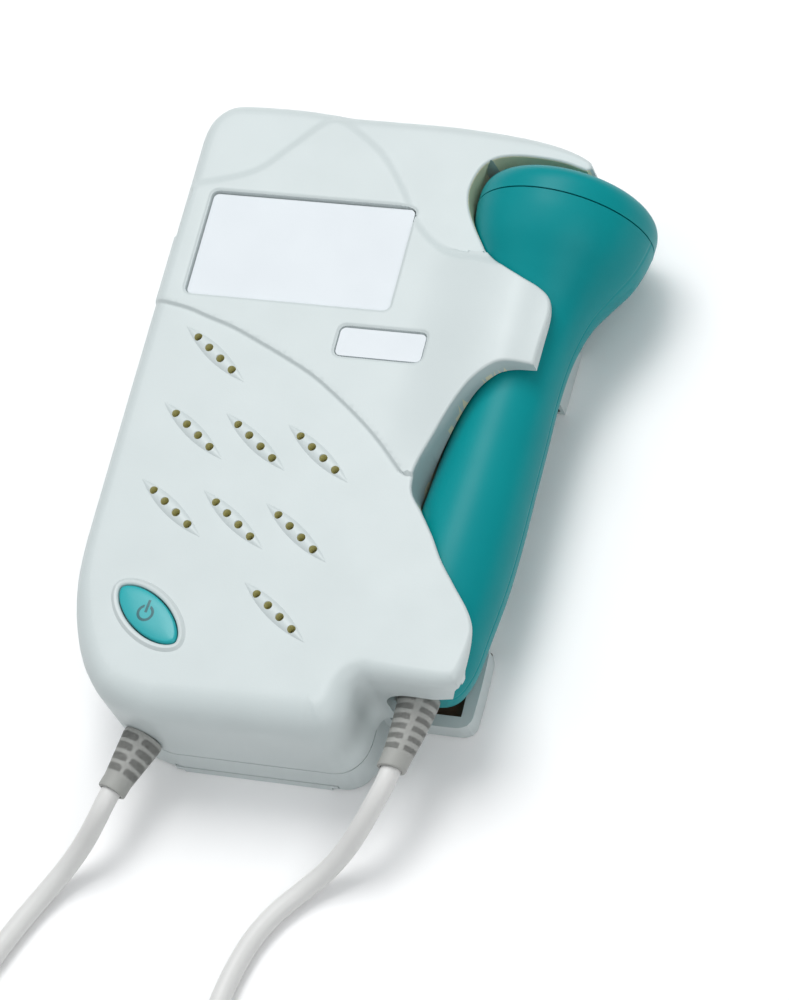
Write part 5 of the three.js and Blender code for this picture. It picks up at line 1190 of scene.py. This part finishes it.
def printed_button():
    """The teal finish with the sign printed on. Distances are measured from the sign's middle in
    object coordinates, turned level: a ring where the distance is near its radius and away from the
    bar's side, and a bar where the point lies close to the bar's line."""
    made = Finish("teal_button_sign")
    maths = made.maths
    middle = button_middle - WORK_SHIFT[:2] + SIGN_OFFSET
    centred = made.add("Mapping", Location=(*middle * MM, 0), Rotation=(0, 0, SIGN_TURN))
    centred.vector_type = "TEXTURE"
    made.put(centred.inputs["Vector"], made.place)
    parts = made.add("SeparateXYZ", Vector=centred.outputs["Vector"])
    x, y = parts.outputs["X"], parts.outputs["Y"]
    across = maths("ABSOLUTE", x)
    far = maths("SQRT", maths("ADD", maths("MULTIPLY", x, x), maths("MULTIPLY", y, y)))
    ring = maths("LESS_THAN", maths("ABSOLUTE", maths("SUBTRACT", far, SIGN_RING)), SIGN_STROKE)
    gap = maths("MULTIPLY", maths("LESS_THAN", across, SIGN_GAP), maths("GREATER_THAN", y, 0.0))
    ring = maths("MULTIPLY", ring, maths("SUBTRACT", 1.0, gap))
    tall = maths("MULTIPLY", maths("GREATER_THAN", y, 0.1 * MM), maths("LESS_THAN", y, BAR_LENGTH))
    sign = maths("MAXIMUM", ring, maths("MULTIPLY", maths("LESS_THAN", across, SIGN_STROKE), tall))
    base = made.blots(14, 4, (30, 168, 173), (26, 160, 166))
    return made.done(
        made.mix(sign, base, linear(0, 92, 98)), made.between(made.noise(7, 4), 0.3, 0.36),
        made.relief(made.noise(0.35, 2), 0.015, 0.4))


button = skin("button_dome", to_model(button_dome()), printed_button(), "power_button", 40)
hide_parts("power_button")

# %% [markdown]
# ## The cord's sleeves
# Each end of the cord is held in a soft tapered sleeve with four columns of slots, so that it bends
# gently. The sleeve is turned straight, the slots are cut out of it, and only then are its points
# moved: the cord's pull bends the probe's sleeve by an amount that grows with the square of the way
# along it.

# %% Turn, slot and bend the sleeves
SLEEVE_TAPER, SLEEVE_COLLAR = 1.2, 2.6
SLOT_HALF, SLOT_DEPTH, SLOT_TURN = 2.5, 1.3, 0.4
slot_shade = moulded("slot_shade", (50, 50, 47), (43, 43, 40), 0.7)


def sleeve(name, length, wall, slots, lean, place, body, node):
    """A sleeve along +Y of its own frame, with a plug and a nut inside the wall, put in its place
    by a function of its three coordinates."""
    tip, first, nut_high = SEAT_GAP + length, SEAT_GAP + 1.1, -wall - 0.8
    taper_length = tip - SLEEVE_COLLAR - first
    rows = [
        (0.01, nut_high - 1.6), (3.8, nut_high - 1.6), (3.8, nut_high), (RELIEF_PLUG, nut_high),
        (RELIEF_PLUG, SEAT_GAP), (3.85, SEAT_GAP), (4.02, SEAT_GAP + 0.08),
        (SLEEVE_RADIUS, SEAT_GAP + 0.28),
        *[(SLEEVE_RADIUS - SLEEVE_TAPER * share, first + taper_length * share)
          for share in np.linspace(0, 1, 13)],
        (2.9, tip - 0.35), (2.82, tip - 0.12), (2.62, tip),
        (2.2, tip), (2.2, tip - 1.9), (0.01, tip - 1.9),
    ]
    cosines, sines = circle(64)
    rings = [np.column_stack([r * sines, np.full(64, y), r * cosines]) for r, y in rows]
    piece = skin(name, np.array(rings) * MM, grey_sleeve, None)
    pitch = taper_length / slots
    bulge = [np.sign(part) * np.abs(part) ** 0.4 for part in circle(24)]
    cuts = []
    for column in range(4):
        turned = Matrix.Rotation(math.pi / 2 * (column + 0.5) - SLOT_TURN, 4, "Y")
        for i in range(slots):
            radius = SLEEVE_RADIUS - SLEEVE_TAPER * i / slots
            half_wide, low = SLOT_HALF * radius / SLEEVE_RADIUS, radius - SLOT_DEPTH
            y = first + pitch * (i + 0.25) + pitch * 0.33 * bulge[1]
            rim = np.column_stack([np.zeros(24), y, half_wide * bulge[0]])
            ends = np.array([rim + [low, 0, 0], rim + [low + 6, 0, 0]])
            cutter = skin("slot", ends * MM, grey_sleeve, None)
            cutter.data.transform(turned)
            cuts.append(cutter)
    carved(piece, take=cuts)
    centres = face_places(piece.data)[0] - WORK_SHIFT
    y, reach = centres[:, 1], np.hypot(centres[:, 0], centres[:, 2])
    outside = SLEEVE_RADIUS - SLEEVE_TAPER * np.clip((y - first) / taper_length, 0, 1)
    in_slot = (reach < outside - 0.25) & (y > SEAT_GAP + 0.3) & (y < tip - 2.2)
    points = np.empty(3 * len(piece.data.vertices))
    piece.data.vertices.foreach_get("co", points)
    points = points.reshape(-1, 3) / MM
    points[:, 0] -= lean * np.clip((points[:, 1] - SEAT_GAP) / length, 0, None) ** 2
    piece.data.vertices.foreach_set("co", place(*points.T).ravel())
    piece.data.update()
    dressed(piece, body, grey_sleeve, node, angle=38)
    piece.data.materials.append(slot_shade)
    piece.data.polygons.foreach_set("material_index", in_slot.astype(np.int32))


def at_exit(x, y, z):
    """The housing's exit frame: level along the wall, outwards, and up."""
    points = exit_place + np.outer(x, exit_side)
    return to_model(points + np.outer(y, exit_out) + np.outer(z, [0, 0, 1]))


sleeve("sleeve_at_probe", 15.6, 0.032 * PROBE_LENGTH, 6, 1.3,
       lambda x, y, z: from_probe(x, -PROBE_LENGTH - y, -z), "probe", "probe_strain_relief")
sleeve("sleeve_at_housing", 12.6, SHELL_WALL, 4, 0.0, at_exit, "housing", "housing_strain_relief")
print("sleeves done")

# %% [markdown]
# ## The solids that stay
# Boards, cells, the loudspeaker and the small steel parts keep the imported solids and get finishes
# of their own. Brushed and rolled metals show as noise stretched along one axis, printed boards as
# a dull green with fine grain, cloth as two crossed waves, and paper cones as a soft grain.

# %% Finishes of the inner solids
def metal(name, colour, tint, rough, stretch):
    """Metal with fine lines along one axis, from a stretched noise, in gloss and relief."""
    made = Finish(name)
    lines = made.noise(1.2, 3, stretch)
    return made.done(made.blots(5, 3, colour, tint), made.between(lines, rough * 0.7, rough * 1.4),
                     made.relief(lines, 0.01, 0.4), Metallic=1.0)


def woven(name, thread, gap):
    """Cloth: two sets of waves cross, and their product lifts the threads over the gaps."""
    made = Finish(name)
    waves = [made.add("TexWave", Vector=made.place, Scale=320.0, Distortion=0.6) for _ in range(2)]
    waves[1].bands_direction = "Y"
    crossed = made.maths("MULTIPLY", *(wave.outputs["Fac"] for wave in waves))
    return made.done(made.mix(crossed, gap, thread), made.between(made.noise(3), 0.8, 0.95),
                     made.relief(crossed, 0.1, 0.6))


def wrapped_cell():
    """A cell's printed film: a dark sleeve with a pale band by its position along the cell."""
    made = Finish("cell_film")
    y = made.add("SeparateXYZ", Vector=made.place).outputs["Y"]
    film = made.blots(10, 3, (58, 62, 68), (50, 54, 60))
    banded = made.mix(made.maths("LESS_THAN", y, -45 * MM), film, linear(198, 186, 150))
    return made.done(
        banded, made.between(made.noise(5), 0.25, 0.38), made.relief(made.noise(2, 2), 0.02, 0.4))


# %% Give every solid its finish
finish_of_slot = {
    "shell": white_shell, "teal": teal_shell, "button": teal_button, "relief": grey_sleeve,
    "cord": cord_jacket,
    "plate": moulded("label_plate", (216, 222, 226), (213, 219, 223), 0.5, texture=0.6, depth=0.01),
    "cloth": woven("olive_cloth", linear(226, 222, 172), linear(176, 172, 120)),
    "dark": black_part,
    "board": moulded("green_board", (38, 88, 62), (30, 76, 52), 0.5, texture=0.8),
    "steel": metal("rolled_steel", (196, 196, 192), (184, 184, 180), 0.28, (1, 6, 1)),
    "cell": wrapped_cell(),
    "cone": moulded("paper_cone", (62, 60, 56), (52, 50, 47), 0.85, texture=0.5, depth=0.05),
    "ceramic": moulded("pale_ceramic", (226, 220, 204), (218, 210, 192), 0.45, texture=0.3),
}
for row in frame["record"]["subparts"]:
    solid = frame["nodes"][row["node"]]
    solid.data.materials.clear()
    solid.data.materials.append(finish_of_slot[row["material_slot"]])
